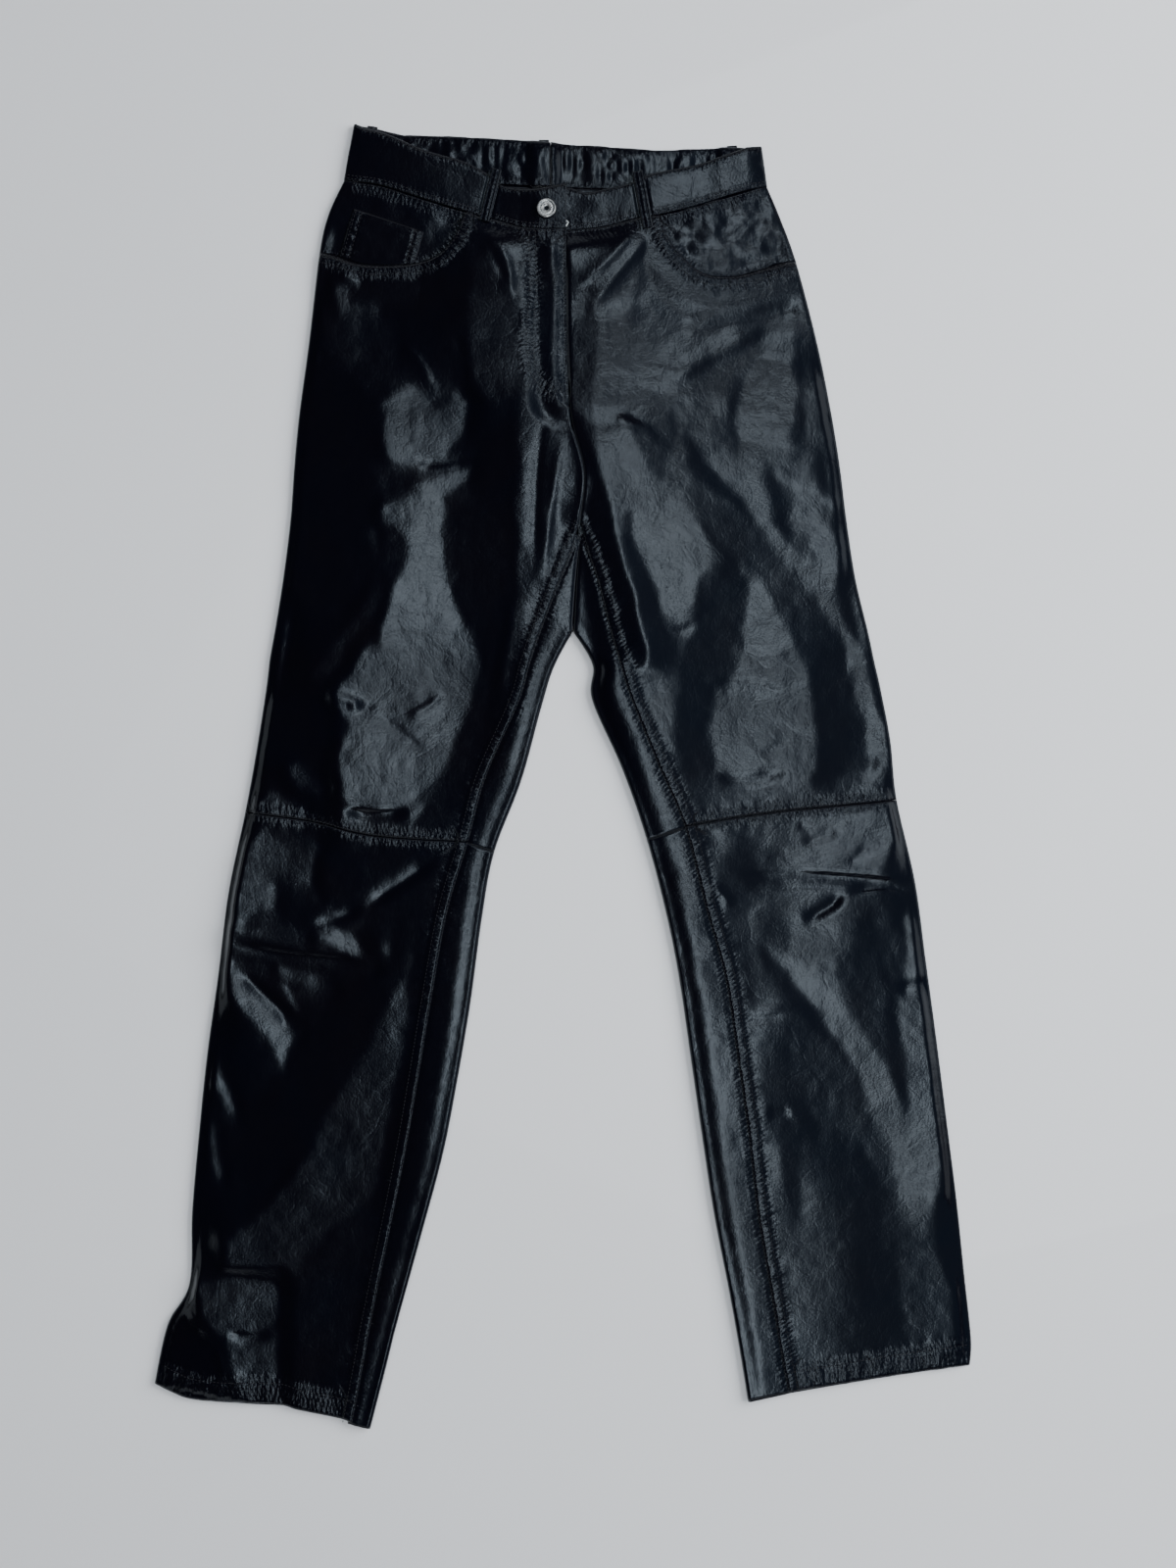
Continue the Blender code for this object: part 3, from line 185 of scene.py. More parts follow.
# Large folds: X and Y of the crest's start, middle and end, its height (below zero for a hollow),
# and its reach on the left and on the right of the way from start to end
LARGE_FOLDS = (
    (87, 303, 172, 217, 281, 77, 6, 24, 15), (60, 309, 141, 217, 245, 63, -2.5, 14, 14),
    (64, 337, 121, 290, 241, 248, 3, 13, 13), (170, 179, 121, 124, 110, 2, -2, 22, 22),
    (178, 90, 181, 46, 185, -7, 4, 42, 42), (137, -1, 168, -4, 201, 4, 2, 11, 11),
    (13, 327, 42, 239, 77, 81, 7, 26, 12), (10, 309, 26, 239, 63, 125, -3, 11, 11),
    (71, 484, 46, 465, 29, 427, 2, 11, 11), (102, 432, 67, 405, 30, 388, 1.6, 13, 13),
    (172, 423, 150, 362, 172, 318, 2.6, 38, 38), (128, -58, 198, -66, 297, -52, 3.2, 12, 12),
    (128, -73, 197, -88, 308, -88, -3.5, 10, 10), (316, -103, 251, -102, 212, -134, 4.5, 12, 12),
    (177, -138, 269, -235, 317, -437, 4.5, 30, 24), (148, -147, 168, -235, 177, -340, 2.2, 16, 16),
    (229, -274, 277, -327, 312, -380, 2.2, 14, 14), (269, -384, 260, -445, 277, -507, 2.6, 45, 45),
    (-166, 327, -126, 322, -78, 305, 4, 24, 24), (-148, 270, -113, 274, -72, 290, -3, 11, 11),
    (-148, 256, -109, 263, -69, 283, 3.2, 12, 12), (-179, 228, -144, 228, -109, 234, -2.5, 12, 12),
    (-130, 208, -157, 116, -148, -7, 5, 42, 42), (-2, 318, -30, 252, -25, 158, 4.6, 12, 12),
    (13, 309, 23, 256, -2, 204, 4, 11, 11), (5, 296, -9, 243, -16, 177, -2, 9, 9),
    (-73, 484, -58, 458, -45, 414, 1.8, 11, 11), (-201, 445, -195, 419, -205, 379, 2.2, 14, 14),
    (-117, 432, -91, 388, -65, 344, 2.2, 36, 36), (-205, -38, -166, -46, -128, -38, 4.5, 11, 11),
    (-109, -70, -144, -99, -227, -132, 3.6, 13, 13),
    (-296, -105, -253, -114, -201, -116, 3.6, 13, 13),
    (-302, -128, -258, -137, -209, -141, -3.5, 9, 9),
    (-299, -152, -231, -152, -163, -170, 4.6, 15, 15),
    (-303, -172, -271, -200, -230, -233, 3, 14, 14),
    (-316, -252, -300, -277, -282, -302, 2.4, 13, 13),
    (-201, -173, -196, -296, -240, -437, 3.4, 36, 36),
    (-328, -445, -340, -485, -345, -535, 4, 12, 12),
    (-319, -485, -309, -514, -300, -540, -3, 10, 10),
    (-258, -454, -240, -507, -240, -551, 2.2, 40, 40),
)
# Finer folds and creases with narrower flanks, in the same form
FINE_FOLDS = (
    (155, -88, 230, -89, 312, -95, -2.6, 3, 7), (312, -103, 285, -99, 255, -103, -2, 3, 5),
    (252, -103, 240, -116, 215, -130, -1.8, 4, 6), (213, -62, 236, -52, 250, -52, -0.6, 4, 5),
    (298, -191, 314, -186, 329, -184, -1.2, 4, 6), (182, -300, 196, -301, 205, -298, -1, 5, 5),
    (135, 0, 170, -2, 203, 4, -1.4, 4, 6), (-196, -30, -166, -34, -135, -31, -2.6, 4, 6),
    (-110, -74, -139, -93, -178, -118, -2, 4, 7), (-178, -118, -202, -128, -224, -131, -1.6, 4, 6),
    (-300, -147, -256, -158, -162, -168, -1.4, 5, 5),
    (-290, -173, -262, -198, -233, -230, -1.8, 5, 7), (-211, 66, -201, 70, -174, 61, 1.4, 5, 7),
    (-200, 452, -186, 443, -177, 434, 1.4, 5, 7), (-71, 485, -60, 462, -49, 437, -0.6, 4, 6),
    (-57, 480, -48, 455, -44, 424, 0.7, 4, 6), (67, 493, 42, 462, 9, 432, 1, 5, 8),
    (83, 489, 52, 452, 20, 412, 1, 5, 8), (203, 437, 152, 418, 103, 400, 1.2, 8, 12),
    (184, 401, 136, 376, 88, 350, 1.2, 8, 12), (210, 419, 203, 417, 194, 415, -0.5, 4, 6),
    (-15, 328, -22, 271, -25, 180, -0.8, 4, 6), (1, 310, -10, 240, -18, 170, 0.7, 4, 5),
    (17, 281, 21, 260, 10, 220, 0.8, 4, 6), (-133, 279, -105, 281, -79, 284, -1.4, 4, 6),
    (-196, 69, -185, 58, -166, 66, -0.4, 3, 6), (-170, 60, -146, 42, -120, 20, -0.3, 3, 6),
    (-140, 55, -122, 62, -105, 75, 0.7, 3, 5), (-15, 385, -10, 365, 1, 343, 1, 3, 5),
    (170, 415, 192, 419, 215, 420, -0.4, 4, 6), (135, 86, 168, 84, 200, 75, -0.6, 4, 6),
    (175, 20, 190, 26, 206, 36, -0.25, 3, 5), (150, 120, 176, 108, 205, 112, 0.4, 4, 7),
    (82, 132, 100, 128, 122, 138, -0.7, 3, 5), (210, -42, 218, -46, 226, -49, -0.4, 3, 5),
    (254, -81, 264, -70, 276, -60, -0.4, 3, 6), (130, -95, 142, -104, 152, -118, 0.9, 4, 5),
    (155, -213, 178, -216, 200, -212, -0.6, 3, 5), (-300, -496, -280, -501, -260, -498, -0.9, 3, 5),
    (-331, -460, -331, -482, -316, -500, 0.9, 3, 4),
    (-310, -506, -304, -526, -300, -545, 0.9, 3, 4), (-150, 395, -128, 372, -112, 340, 0.5, 4, 6),
    (-96, 398, -88, 372, -86, 350, -0.6, 4, 6),
)

# Broad faces of the leather between its folds. The first number says how each leans across: it
# mirrors the place on the ceiling so many metres to the right of the garment's middle, as seen
# from over the middle. The second is how steeply it looks up towards the waist, in degrees. The
# rest are X and Y of its corners. A later face lies over an earlier one.
FACES = (
    # right thigh
    (0.04, 0, -202, 441, -160, 441, -160, 414, -202, 414),
    (0.22, 0, -206, 438, -175, 454, -171, 447, -203, 430),
    (-0.8, 0, -172, 452, -161, 420, -150, 400, -120, 393, -94, 408, -80, 440, -80, 458),
    (-0.35, 0, -218, 412, -165, 412, -148, 398, -146, 380, -215, 380),
    (0.16, 0, -189, 405, -179, 406, -178, 396, -187, 395),
    (0.05, 0, -229, 361, -216, 373, -213, 380, -225, 379),
    (-0.8, 0, -234, 352, -215, 366, -195, 356, -175, 340, -156, 321, -162, 309, -185, 304, -240,
     298),
    (-0.75, 0, -240, 288, -178, 288, -166, 262, -168, 244, -245, 240),
    (0.15, 0, -165, 333, -140, 346, -125, 346, -113, 329, -100, 333, -88, 341, -82, 334, -88, 310,
     -100, 296, -107, 284, -135, 279, -150, 281, -165, 300, -160, 320),
    (0.25, 0, -136, 262, -110, 271, -86, 286, -79, 280, -85, 265, -100, 253, -120, 256),
    (0.24, 0, -166, 243, -140, 252, -110, 258, -104, 240, -108, 226, -160, 233),
    (-0.1, 0, -84, 430, -40, 432, -38, 350, -72, 338, -84, 370),
    (0.15, 0, -66, 478, -44, 488, -30, 484, -30, 440, -47, 426, -58, 450),
    (0.26, 0, -165, 228, -122, 229, -106, 240, -107, 215, -104, 195, -100, 165, -92, 140, -112, 118,
     -163, 118, -160, 140, -154, 156, -149, 176, -140, 198, -140, 212, -148, 222),
    (0.2, 0, -163, 118, -112, 118, -92, 140, -78, 126, -72, 104, -76, 88, -80, 65, -90, 45, -98, 28,
     -160, 36, -190, 44, -204, 62, -202, 76, -190, 95, -170, 115),
    (0.2, 0, -190, 44, -160, 36, -98, 28, -105, 5, -120, -12, -132, -25, -150, -31, -185, -29, -198,
     -20, -200, 0, -199, 30),
    (-0.12, 0, -176, 222, -166, 223, -164, 200, -173, 199),
    (-0.3, 0, -226, 88, -206, 110, -190, 140, -172, 160, -157, 163, -164, 146, -180, 125, -203, 92),
    (-0.02, 0, -251, 146, -240, 140, -245, 110, -254, 78, -263, 76, -257, 115),
    (-0.9, 0, -268, 60, -210, 62, -206, 30, -214, 16, -274, 16),
    (-0.7, 0, -246, 232, -182, 236, -166, 190, -176, 166, -200, 150, -246, 170),
    (0, 0, -250, 9, -236, 12, -209, -10, -214, -18, -240, -7),
    (0, 0, -264, -12, -247, -18, -225, -30, -229, -39, -256, -35, -274, -27),
    (0.25, 0, -198, -35, -140, -38, -125, -24, -120, -28, -136, -45, -190, -42),
    (-0.48, 0, -98, 240, -60, 236, -44, 180, -60, 110, -66, 60, -80, 20, -104, -20, -116, -22, -94,
     28, -76, 70, -70, 108, -84, 138, -97, 170),
    (-0.1, 0, -37, 240, -29, 240, -24, 190, -28, 163, -36, 136, -44, 106, -50, 78, -57, 80, -52,
     112, -44, 142, -37, 170, -33, 190),
    (0.3, 0, -18, 240, -2, 240, -2, 172, -14, 168, -20, 200),
    (0.18, 0, -30, 170, -18, 170, -20, 140, -28, 118, -34, 120),
    # right shin
    (0.1, 0, -292, -62, -270, -50, -240, -64, -214, -64, -226, -98, -214, -112, -236, -102, -256,
     -95, -256, -120, -297, -121, -298, -98),
    (-0.45, 0, -210, -70, -140, -66, -122, -80, -160, -110, -195, -125, -208, -118, -214, -96),
    (-0.8, 4, -256, -98, -225, -106, -216, -116, -214, -134, -252, -130),
    (0.24, 5, -224, -143, -205, -135, -190, -139, -180, -149, -172, -160, -186, -162, -206, -152),
    (-0.1, -14, -305, -136, -250, -150, -166, -169, -168, -180, -230, -172, -303, -160),
    (0.06, 0, -166, -144, -155, -149, -151, -160, -160, -164),
    (0.18, 0, -304, -160, -295, -166, -284, -180, -274, -195, -262, -209, -240, -220, -234, -232,
     -244, -246, -250, -262, -257, -250, -263, -235, -275, -216, -288, -206, -296, -190),
    (0.15, 0, -260, -159, -245, -170, -225, -174, -210, -183, -202, -195, -215, -193, -235, -184,
     -252, -179),
    (0.2, 0, -254, -183, -246, -186, -233, -210, -240, -211),
    (0.1, 0, -316, -252, -305, -266, -293, -288, -288, -302, -300, -300, -311, -278),
    (0, 0, -320, -310, -310, -318, -300, -358, -309, -360, -318, -335),
    (-0.12, 0, -132, -150, -150, -198, -172, -242, -203, -292, -240, -352, -262, -380, -300, -415,
     -300, -436, -238, -436, -200, -396, -168, -380, -152, -300, -138, -220),
    (-0.9, 0, -205, -200, -165, -181, -152, -192, -168, -226, -183, -256, -204, -287, -232, -336,
     -258, -362, -288, -362, -286, -310, -270, -280, -247, -266),
    (-0.45, 0, -240, -445, -180, -420, -186, -520, -240, -540),
    (0, 0, -330, -440, -320, -452, -285, -446, -254, -452, -250, -476, -256, -491, -290, -499, -312,
     -496, -323, -480),
    (-0.04, 0, -300, -504, -252, -504, -250, -536, -298, -538),
    (-1.15, 0, -355, -475, -334, -480, -325, -505, -310, -512, -303, -540, -358, -540),
    # left of the left leg's long ridge
    (-0.7, 0, 8, 325, 14, 318, 22, 298, 33, 270, 43, 238, 52, 205, 62, 165, 70, 132, 77, 97, 66, 96,
     50, 104, 34, 112, 27, 128, 20, 150, 17, 200, 19, 250, 12, 285, 7, 310),
    # left hip
    (0.27, 0, 8, 480, 22, 488, 45, 488, 58, 484, 42, 464, 26, 440, 8, 428),
    (0.55, 0, 59, 490, 66, 486, 54, 452, 34, 426, 12, 409, 9, 419, 30, 435, 46, 457),
    (0.55, 0, 77, 489, 85, 486, 67, 454, 50, 425, 41, 430, 57, 457),
    (0.8, 0, 72, 478, 88, 474, 91, 455, 81, 440, 68, 430, 66, 446),
    (0.7, 0, 55, 421, 72, 415, 75, 408, 60, 397),
    (0.55, 2, 75, 395, 80, 430, 94, 455, 108, 447, 132, 439, 152, 427, 142, 411, 110, 400),
    (0.7, 3, 92, 367, 120, 398, 150, 416, 178, 421, 174, 405, 142, 394, 121, 377, 100, 357),
    (0.62, 0, 86, 351, 112, 372, 140, 388, 176, 402, 192, 397, 160, 384, 125, 364, 102, 348),
    (0.38, 2, 100, 346, 140, 366, 170, 380, 200, 392, 206, 384, 168, 368, 132, 346),
    (0.42, 0, 98, 338, 148, 342, 150, 316, 152, 298, 122, 294, 102, 306),
    (0.27, 0, 151, 312, 160, 342, 166, 366, 186, 374, 205, 365, 213, 345, 206, 320, 196, 300, 180,
     296, 156, 302),
    (0.43, 0, 214, 350, 230, 350, 234, 300, 220, 296, 216, 320),
    (0.42, 0, 232, 352, 244, 340, 250, 262, 240, 258, 236, 300),
    (0.37, 3, 60, 337, 85, 322, 102, 306, 114, 291, 104, 288, 84, 308, 62, 322),
    (1.05, -4, 55, 320, 70, 313, 85, 303, 97, 286, 115, 271, 135, 256, 160, 240, 176, 219, 190, 201,
     210, 176, 230, 151, 246, 126, 254, 101, 260, 80, 270, 46, 272, 10, 240, 0, 232, 30, 228, 50,
     225, 75, 219, 100, 209, 120, 194, 145, 185, 165, 172, 181, 162, 187, 144, 201, 128, 222, 104,
     250, 85, 263, 75, 281, 61, 303),
    (0.33, 0, 122, 283, 160, 275, 176, 269, 200, 214, 216, 187, 241, 151, 236, 148, 212, 182, 192,
     212, 168, 240, 130, 275),
    (0.33, -3, 188, 268, 225, 250, 248, 234, 248, 242, 222, 260, 192, 276),
    (0.45, 0, 42, 300, 60, 297, 74, 280, 84, 262, 100, 250, 100, 238, 46, 238),
    (0.3, 0, 200, 230, 214, 216, 240, 182, 252, 182, 246, 215, 216, 240),
    (0.3, 0, 165, 240, 184, 219, 202, 199, 226, 165, 246, 136, 263, 106, 276, 75, 291, 40, 297, 42,
     284, 82, 268, 112, 250, 140, 230, 170, 206, 205, 186, 226, 172, 242),
    # left thigh
    (0.31, 0, 58, 236, 108, 236, 128, 216, 144, 196, 124, 180, 118, 148, 86, 150, 72, 190),
    (0.95, 0, 150, 191, 160, 166, 140, 150, 120, 141, 110, 110, 103, 80, 100, 40, 105, 14, 115, -1,
     126, 9, 131, 30, 131, 60, 136, 80, 155, 94, 161, 115, 162, 140, 168, 176),
    (0.3, 0, 168, 178, 185, 161, 200, 135, 215, 105, 223, 80, 229, 50, 231, 20, 228, 4, 136, 4, 131,
     40, 136, 74, 156, 91, 161, 118, 163, 150),
    # left shin
    (0.34, 0, 130, -40, 200, -34, 297, -26, 300, -60, 280, -84, 205, -66, 180, -56, 150, -48, 132,
     -62),
    (1, 0, 145, -46, 170, -56, 201, -67, 195, -74, 168, -66, 146, -54),
    (0.75, -3, 134, -84, 153, -86, 172, -110, 166, -118, 138, -108),
    (0.8, 0, 163, -119, 185, -130, 206, -140, 201, -156, 181, -150, 170, -161, 163, -146),
    (0.28, 0, 180, -145, 200, -155, 225, -174, 246, -199, 262, -220, 276, -244, 292, -260, 302,
     -290, 307, -312, 286, -312, 274, -290, 260, -260, 243, -235, 223, -206, 203, -181, 184, -161),
    (0.75, 0, 267, -149, 281, -165, 291, -200, 286, -225, 292, -246, 275, -242, 262, -216, 269,
     -190),
    (0.75, 0, 281, -130, 304, -140, 306, -182, 292, -180, 284, -160),
    (0.28, 0, 306, -128, 318, -128, 327, -180, 308, -183),
    (0.42, 0, 298, -194, 322, -194, 336, -300, 312, -308, 302, -240),
    (0.8, -2, 184, -204, 215, -214, 240, -238, 257, -262, 272, -291, 279, -314, 290, -334, 304,
     -376, 288, -366, 266, -334, 246, -312, 228, -312, 214, -282, 204, -251),
    (0.85, 0, 192, -228, 201, -238, 210, -272, 202, -277, 193, -254),
    (0.9, 0, 190, -330, 199, -334, 211, -367, 215, -384, 205, -386, 195, -360),
    (0.6, 0, 163, -122, 176, -126, 182, -200, 170, -204, 164, -160),
    (0.34, 0, 282, -290, 306, -300, 340, -310, 344, -368, 312, -374, 294, -330),
    (0.65, 0, 302, -432, 335, -436, 352, -460, 352, -500, 310, -500, 300, -470),
)


# Curves and distances


def smooth_step(low, high, value):
    share = np.clip((value - low) / (high - low), 0.0, 1.0)
    return share * share * (3.0 - 2.0 * share)


def bell(distance, reach, power=2.0):
    """1 at no distance, and close to 0 at twice the reach."""
    return np.exp(-((distance / reach) ** power))


def stacked(*parts):
    """Numbers or arrays joined into points."""
    return np.stack(np.broadcast_arrays(*parts), axis=-1)


def read_at(place, known, values):
    """Each column of the values at a place between the known ones."""
    return stacked(*(np.interp(place, known, column) for column in values.T))


def curve_through(points, place):
    """The smooth curve through the points, where place counts points from 0."""
    points = np.asarray(points, float)
    place = np.clip(np.asarray(place, float), 0.0, len(points) - 1.0)
    index = np.minimum(place.astype(int), len(points) - 2)
    share = (place - index)[..., None]
    before = points[np.maximum(index - 1, 0)]
    start = points[index]
    end = points[index + 1]
    after = points[np.minimum(index + 2, len(points) - 1)]
    slope = end - before
    bend = 2.0 * before - 5.0 * start + 4.0 * end - after
    twist = 3.0 * (start - end) + after - before
    return start + 0.5 * share * (slope + share * (bend + share * twist))


def cornered_curve(points, place, corner):
    """A curve down the leg with a corner at one section."""
    place = np.asarray(place, float)
    above = curve_through(points[:corner + 1], place)
    below = curve_through(points[corner:], place - corner)
    return np.where((place <= corner)[..., None], above, below)


def dense_curve(points):
    return curve_through(points, np.linspace(0.0, len(points) - 1.0, 20 * len(points)))


def walked_length(points):
    return np.concatenate([[0.0], np.cumsum(np.hypot(*np.diff(points[:, :2], axis=0).T))])


def by_length(points, share):
    """Points at equal shares of the curve's length."""
    dense = dense_curve(points)
    walked = walked_length(dense)
    return read_at(np.asarray(share) * walked[-1], walked, dense)


def even_line(points, step=4.0):
    """Points about a step apart on the smooth curve through these."""
    count = max(2, round(walked_length(dense_curve(points))[-1] / step) + 1)
    return by_length(points, np.linspace(0.0, 1.0, count))


def offset_line(line, distance):
    """The line moved to its left by a distance."""
    way = np.gradient(line, axis=0)
    way = way / np.hypot(way[:, 0], way[:, 1])[:, None]
    return line + distance * stacked(-way[:, 1], way[:, 0])


def distance_to(line, points):
    """Distance from each point to a line, the length walked along it, and the side."""
    best = np.full(points.shape[:-1], np.inf)
    along = np.zeros_like(best)
    side = np.ones_like(best)
    walked = walked_length(line)
    for index in range(len(line) - 1):
        start = line[index]
        step = line[index + 1] - start
        away = points - start
        share = np.clip(away @ step / (step @ step), 0.0, 1.0)
        offset = away - share[..., None] * step
        distance = np.hypot(offset[..., 0], offset[..., 1])
        nearer = distance < best
        best = np.where(nearer, distance, best)
        along = np.where(
            nearer, walked[index] + share * (walked[index + 1] - walked[index]), along
        )
        turn = step[0] * away[..., 1] - step[1] * away[..., 0]
        side = np.where(nearer, np.where(turn < 0.0, -1.0, 1.0), side)
    return best, along, side


def nearest(lines, points):
    return np.min([distance_to(line, points)[0] for line in lines], axis=0)


def near(line, points, reach):
    """Which of the points lie within reach of the line's box."""
    low = line.min(axis=0) - reach
    high = line.max(axis=0) + reach
    return np.all((points > low) & (points < high), axis=-1)


def inside(corners, x, y):
    """Which points lie inside the polygon."""
    found = np.zeros(x.shape, bool)
    corners = np.asarray(corners, float)
    for start, end in zip(corners, np.roll(corners, -1, axis=0)):
        if start[1] == end[1]:
            continue
        crossing = (start[1] > y) != (end[1] > y)
        reach = start[0] + (y - start[1]) * (end[0] - start[0]) / (end[1] - start[1])
        found ^= crossing & (x < reach)
    return found


def ripples(points, size, seed):
    """Smooth random heights from -1 to 1, about size apart."""
    lattice = np.random.default_rng(seed).uniform(-1.0, 1.0, (256, 256))
    place = points / np.asarray(size, float) + 128.37
    cell = np.floor(place).astype(int)
    share = smooth_step(0.0, 1.0, place - cell)
    x, y = cell[..., 0] % 255, cell[..., 1] % 255
    low = lattice[x, y] + share[..., 0] * (lattice[x + 1, y] - lattice[x, y])
    high = lattice[x, y + 1] + share[..., 0] * (lattice[x + 1, y + 1] - lattice[x, y + 1])
    return low + share[..., 1] * (high - low)


class Leg:
    """One side of the garment, with its edges as functions of the section number."""

    def __init__(self, side):
        self.side = side
        self.sections = np.array(SECTIONS[side])
        self.inward = 1.0 if side == "right" else -1.0

    def outer(self, place):
        return curve_through(self.sections[:, 0:2], place)

    def seam(self, place):
        return cornered_curve(self.sections[:, 2:4], place, CROTCH)

    def inner(self, place):
        return cornered_curve(self.sections[:, 4:6], place, NOTCH)

    def rows(self, first, last, step):
        """Section numbers of mesh rows about a step apart between two named sections."""
        numbers = np.linspace(NUMBER[first], NUMBER[last], 400)
        walked = walked_length(0.5 * (self.outer(numbers) + self.seam(numbers)))
        count = round(walked[-1] / step)
        return np.interp(np.linspace(0.0, walked[-1], count + 1), walked, numbers)


RIGHT_LEG = Leg("right")
LEFT_LEG = Leg("left")
LEGS = (RIGHT_LEG, LEFT_LEG)
OUTER_EDGES = [leg.outer(np.linspace(0, LAST, 5 * LAST)) for leg in LEGS]
INNER_EDGES = [leg.inner(np.linspace(NOTCH, LAST, 5 * (LAST - NOTCH))) for leg in LEGS]
INSEAMS = {leg.side: leg.seam(np.linspace(CROTCH, LAST, 110)) for leg in LEGS}
FLY_LINE = RIGHT_LEG.seam(np.linspace(0, NUMBER["fly_end"] - 0.3, 12))
FLY_STITCHES = even_line(
    [(-30, 488), (-29.2, 436), (-31.7, 403), (-30.8, 369.5), (-24.3, 353.7), (-5.9, 337)]
)
MOUTHS = {side: by_length(points, np.linspace(0, 1, 30)) for side, points in POCKET_MOUTH.items()}
KNEES = {side: even_line(points) for side, points in KNEE_SEAM.items()}
HEMS = {side: even_line(points) for side, points in HEM.items()}


def band_seam_y(side, x):
    """Y of the seam between the waistband and the front."""
    seam = np.array([row[2:4] for row in (*FRONT_BAND[side], BAND_SIDE[side])])
    dense = curve_through(seam, np.linspace(0, len(seam) - 1, 120))
    order = np.argsort(dense[:, 0])
    return np.interp(x, dense[order, 0], dense[order, 1])


def back_seam_y(side, x):
    """Y of the seam between the waistband and the back."""
    seam = np.array([row[2:4] for row in (BAND_SIDE[side], *BACK_BAND[side])])
    order = np.argsort(seam[:, 0])
    return np.interp(x, seam[order, 0], seam[order, 1])


def band_seam_line(side):
    """The front waistband seam from the fly to the side."""
    start, end = (3.0, -188.0) if side == "right" else (4.0, 177.0)
    x = np.linspace(start, end, 50)
    return stacked(x, band_seam_y(side, x))


# Stitched lines. Rows and zone are distances to the left of the way along the line, and each way
# is chosen so that its left side is the piece that carries the rows.

Seam = namedtuple("Seam", "line rows zone raise_by pucker gather")
# Inner leg seam, knee seam, hem, pocket mouth and waistband seam, then the right front's fly
SEAMS = {
    side: [
        Seam(INSEAMS[side][::-way], (4.3, -3.4), (-4.6, 5.4), 0.6, 0.9, 0.4),
        Seam(KNEES[side][::way], (2.2,), (-3.0, 6.0), 0.0, 0.8, 0.45),
        Seam(HEMS[side][::way], (18.5,), (0.0, 22.0), 0.3, 0.8, 0.5),
        Seam(MOUTHS[side][::-way], (1.8, 8.2), (0.5, 9.5), 0.5, 1.0, 0.3),
        Seam(band_seam_line(side)[::way], (2.4,), (0.0, 7.0), 0.0, 0.7, 0.2),
    ]
    for side, way in (("right", 1), ("left", -1))
}
SEAMS["right"] += [
    Seam(FLY_STITCHES[::-1], (0.0, -6.0), (-7.5, 2.0), 0.0, 0.9, 0.2),
    Seam(FLY_LINE[::-1], (2.4,), (0.0, 4.0), 0.0, 0.4, 0.2),
]
INSEAM = slice(0, 1)
MOUTH_AND_BAND = slice(3, 5)
FARTHEST = 40.0  # beyond it a point lies beside no seam


def seam_relief(points, seams):
    """Relief beside the stitched lines, and where each point lies beside the nearest one."""
    relief = np.zeros(points.shape[:-1])
    place = np.zeros((*points.shape[:-1], 3))
    gap = np.full(points.shape[:-1], FARTHEST)
    for seam in seams:
        chosen = near(seam.line, points, FARTHEST + 5.0)
        distance, along, side = distance_to(seam.line, points[chosen])
        signed = distance * side
        low, high = seam.zone
        lift = seam.raise_by * (smooth_step(low - 1.2, low + 0.4, signed) * (
            1.0 - smooth_step(high - 0.4, high + 1.2, signed)
        ))
        for row in seam.rows:
            lift -= STITCH_DENT * bell(signed - row, DENT_REACH)
        outside = np.maximum(np.maximum(low - signed, signed - high), 0.0)
        waves = stacked(along, 0.35 * signed)
        gathers = ripples(waves, 7.0, 11) + 0.6 * ripples(waves, 4.6, 12)
        lift += seam.gather * 0.7 * gathers * bell(outside, 5.5, 1.5)
        relief[chosen] += lift
        closer = outside < gap[chosen]
        beside = stacked(along, signed, seam.pucker * bell(outside, 4.5))
        place[chosen] = np.where(closer[:, None], beside, place[chosen])
        gap[chosen] = np.where(closer, outside, gap[chosen])
    return relief, place


# Height of the upper layer

FIELD_STEP = 2.5
FIELD_SIZE = (352, 520)  # cells across and up, with room around the garment
FIELD_ROUNDS = 80
FIELD_PULL = 55.0  # distance over which a free height returns to its wanted one
FIELD_BLUR = 2.4
LOWEST, HIGHEST = 3.6, 14.5
HELD_EDGE = 7.0  # how far in the field is held to the height of the garment's edge
FREE_EDGE = 4.0  # and how far in the faces have no say
FACE_WANDER = 3.0  # how far the faces' borders stray
UNEVENNESS = 0.06  # of what the faces mirror, in metres
RIGHT_PART, MIDDLE_PART = -40.0, 30.0  # X at which the right leg and the middle end
LAID_PULL = 0.05  # share of the laid height that each round brings back
FLY_PULL = 0.5
FLY_REACH = 26.0


def fold_lift(points, folds, power=2.0):
    lift = np.zeros(points.shape[:-1])
    for *crest, height, left, right in folds:
        crest = curve_through(np.reshape(crest, (3, 2)), np.linspace(0, 2, 13))
        chosen = near(crest, points, 3.0 * max(left, right))
        if not chosen.any():
            continue
        distance, along, side = distance_to(crest, points[chosen])
        share = along / walked_length(crest)[-1]
        ends = smooth_step(0.0, 0.3, share) * smooth_step(0.0, 0.3, 1.0 - share)
        lift[chosen] += height * ends * bell(distance, np.where(side > 0, left, right), power)
    return lift


def laid_height(points, outer, inner):
    """Height of the front with its air and large folds, before its faces are turned."""
    free = smooth_step(0.0, 26.0, outer - OUTER_RADIUS)
    free = free * smooth_step(0.0, 14.0, inner - INNER_RADIUS)
    loft = LOFT * (1.0 - bell(np.minimum(outer, inner), LOFT_REACH))
    spare = 2.0 - 1.4 * bell(distance_to(FLY_LINE, points)[0], 80.0)
    return REST_HEIGHT + free * (loft + spare + 0.55 * fold_lift(points, LARGE_FOLDS))


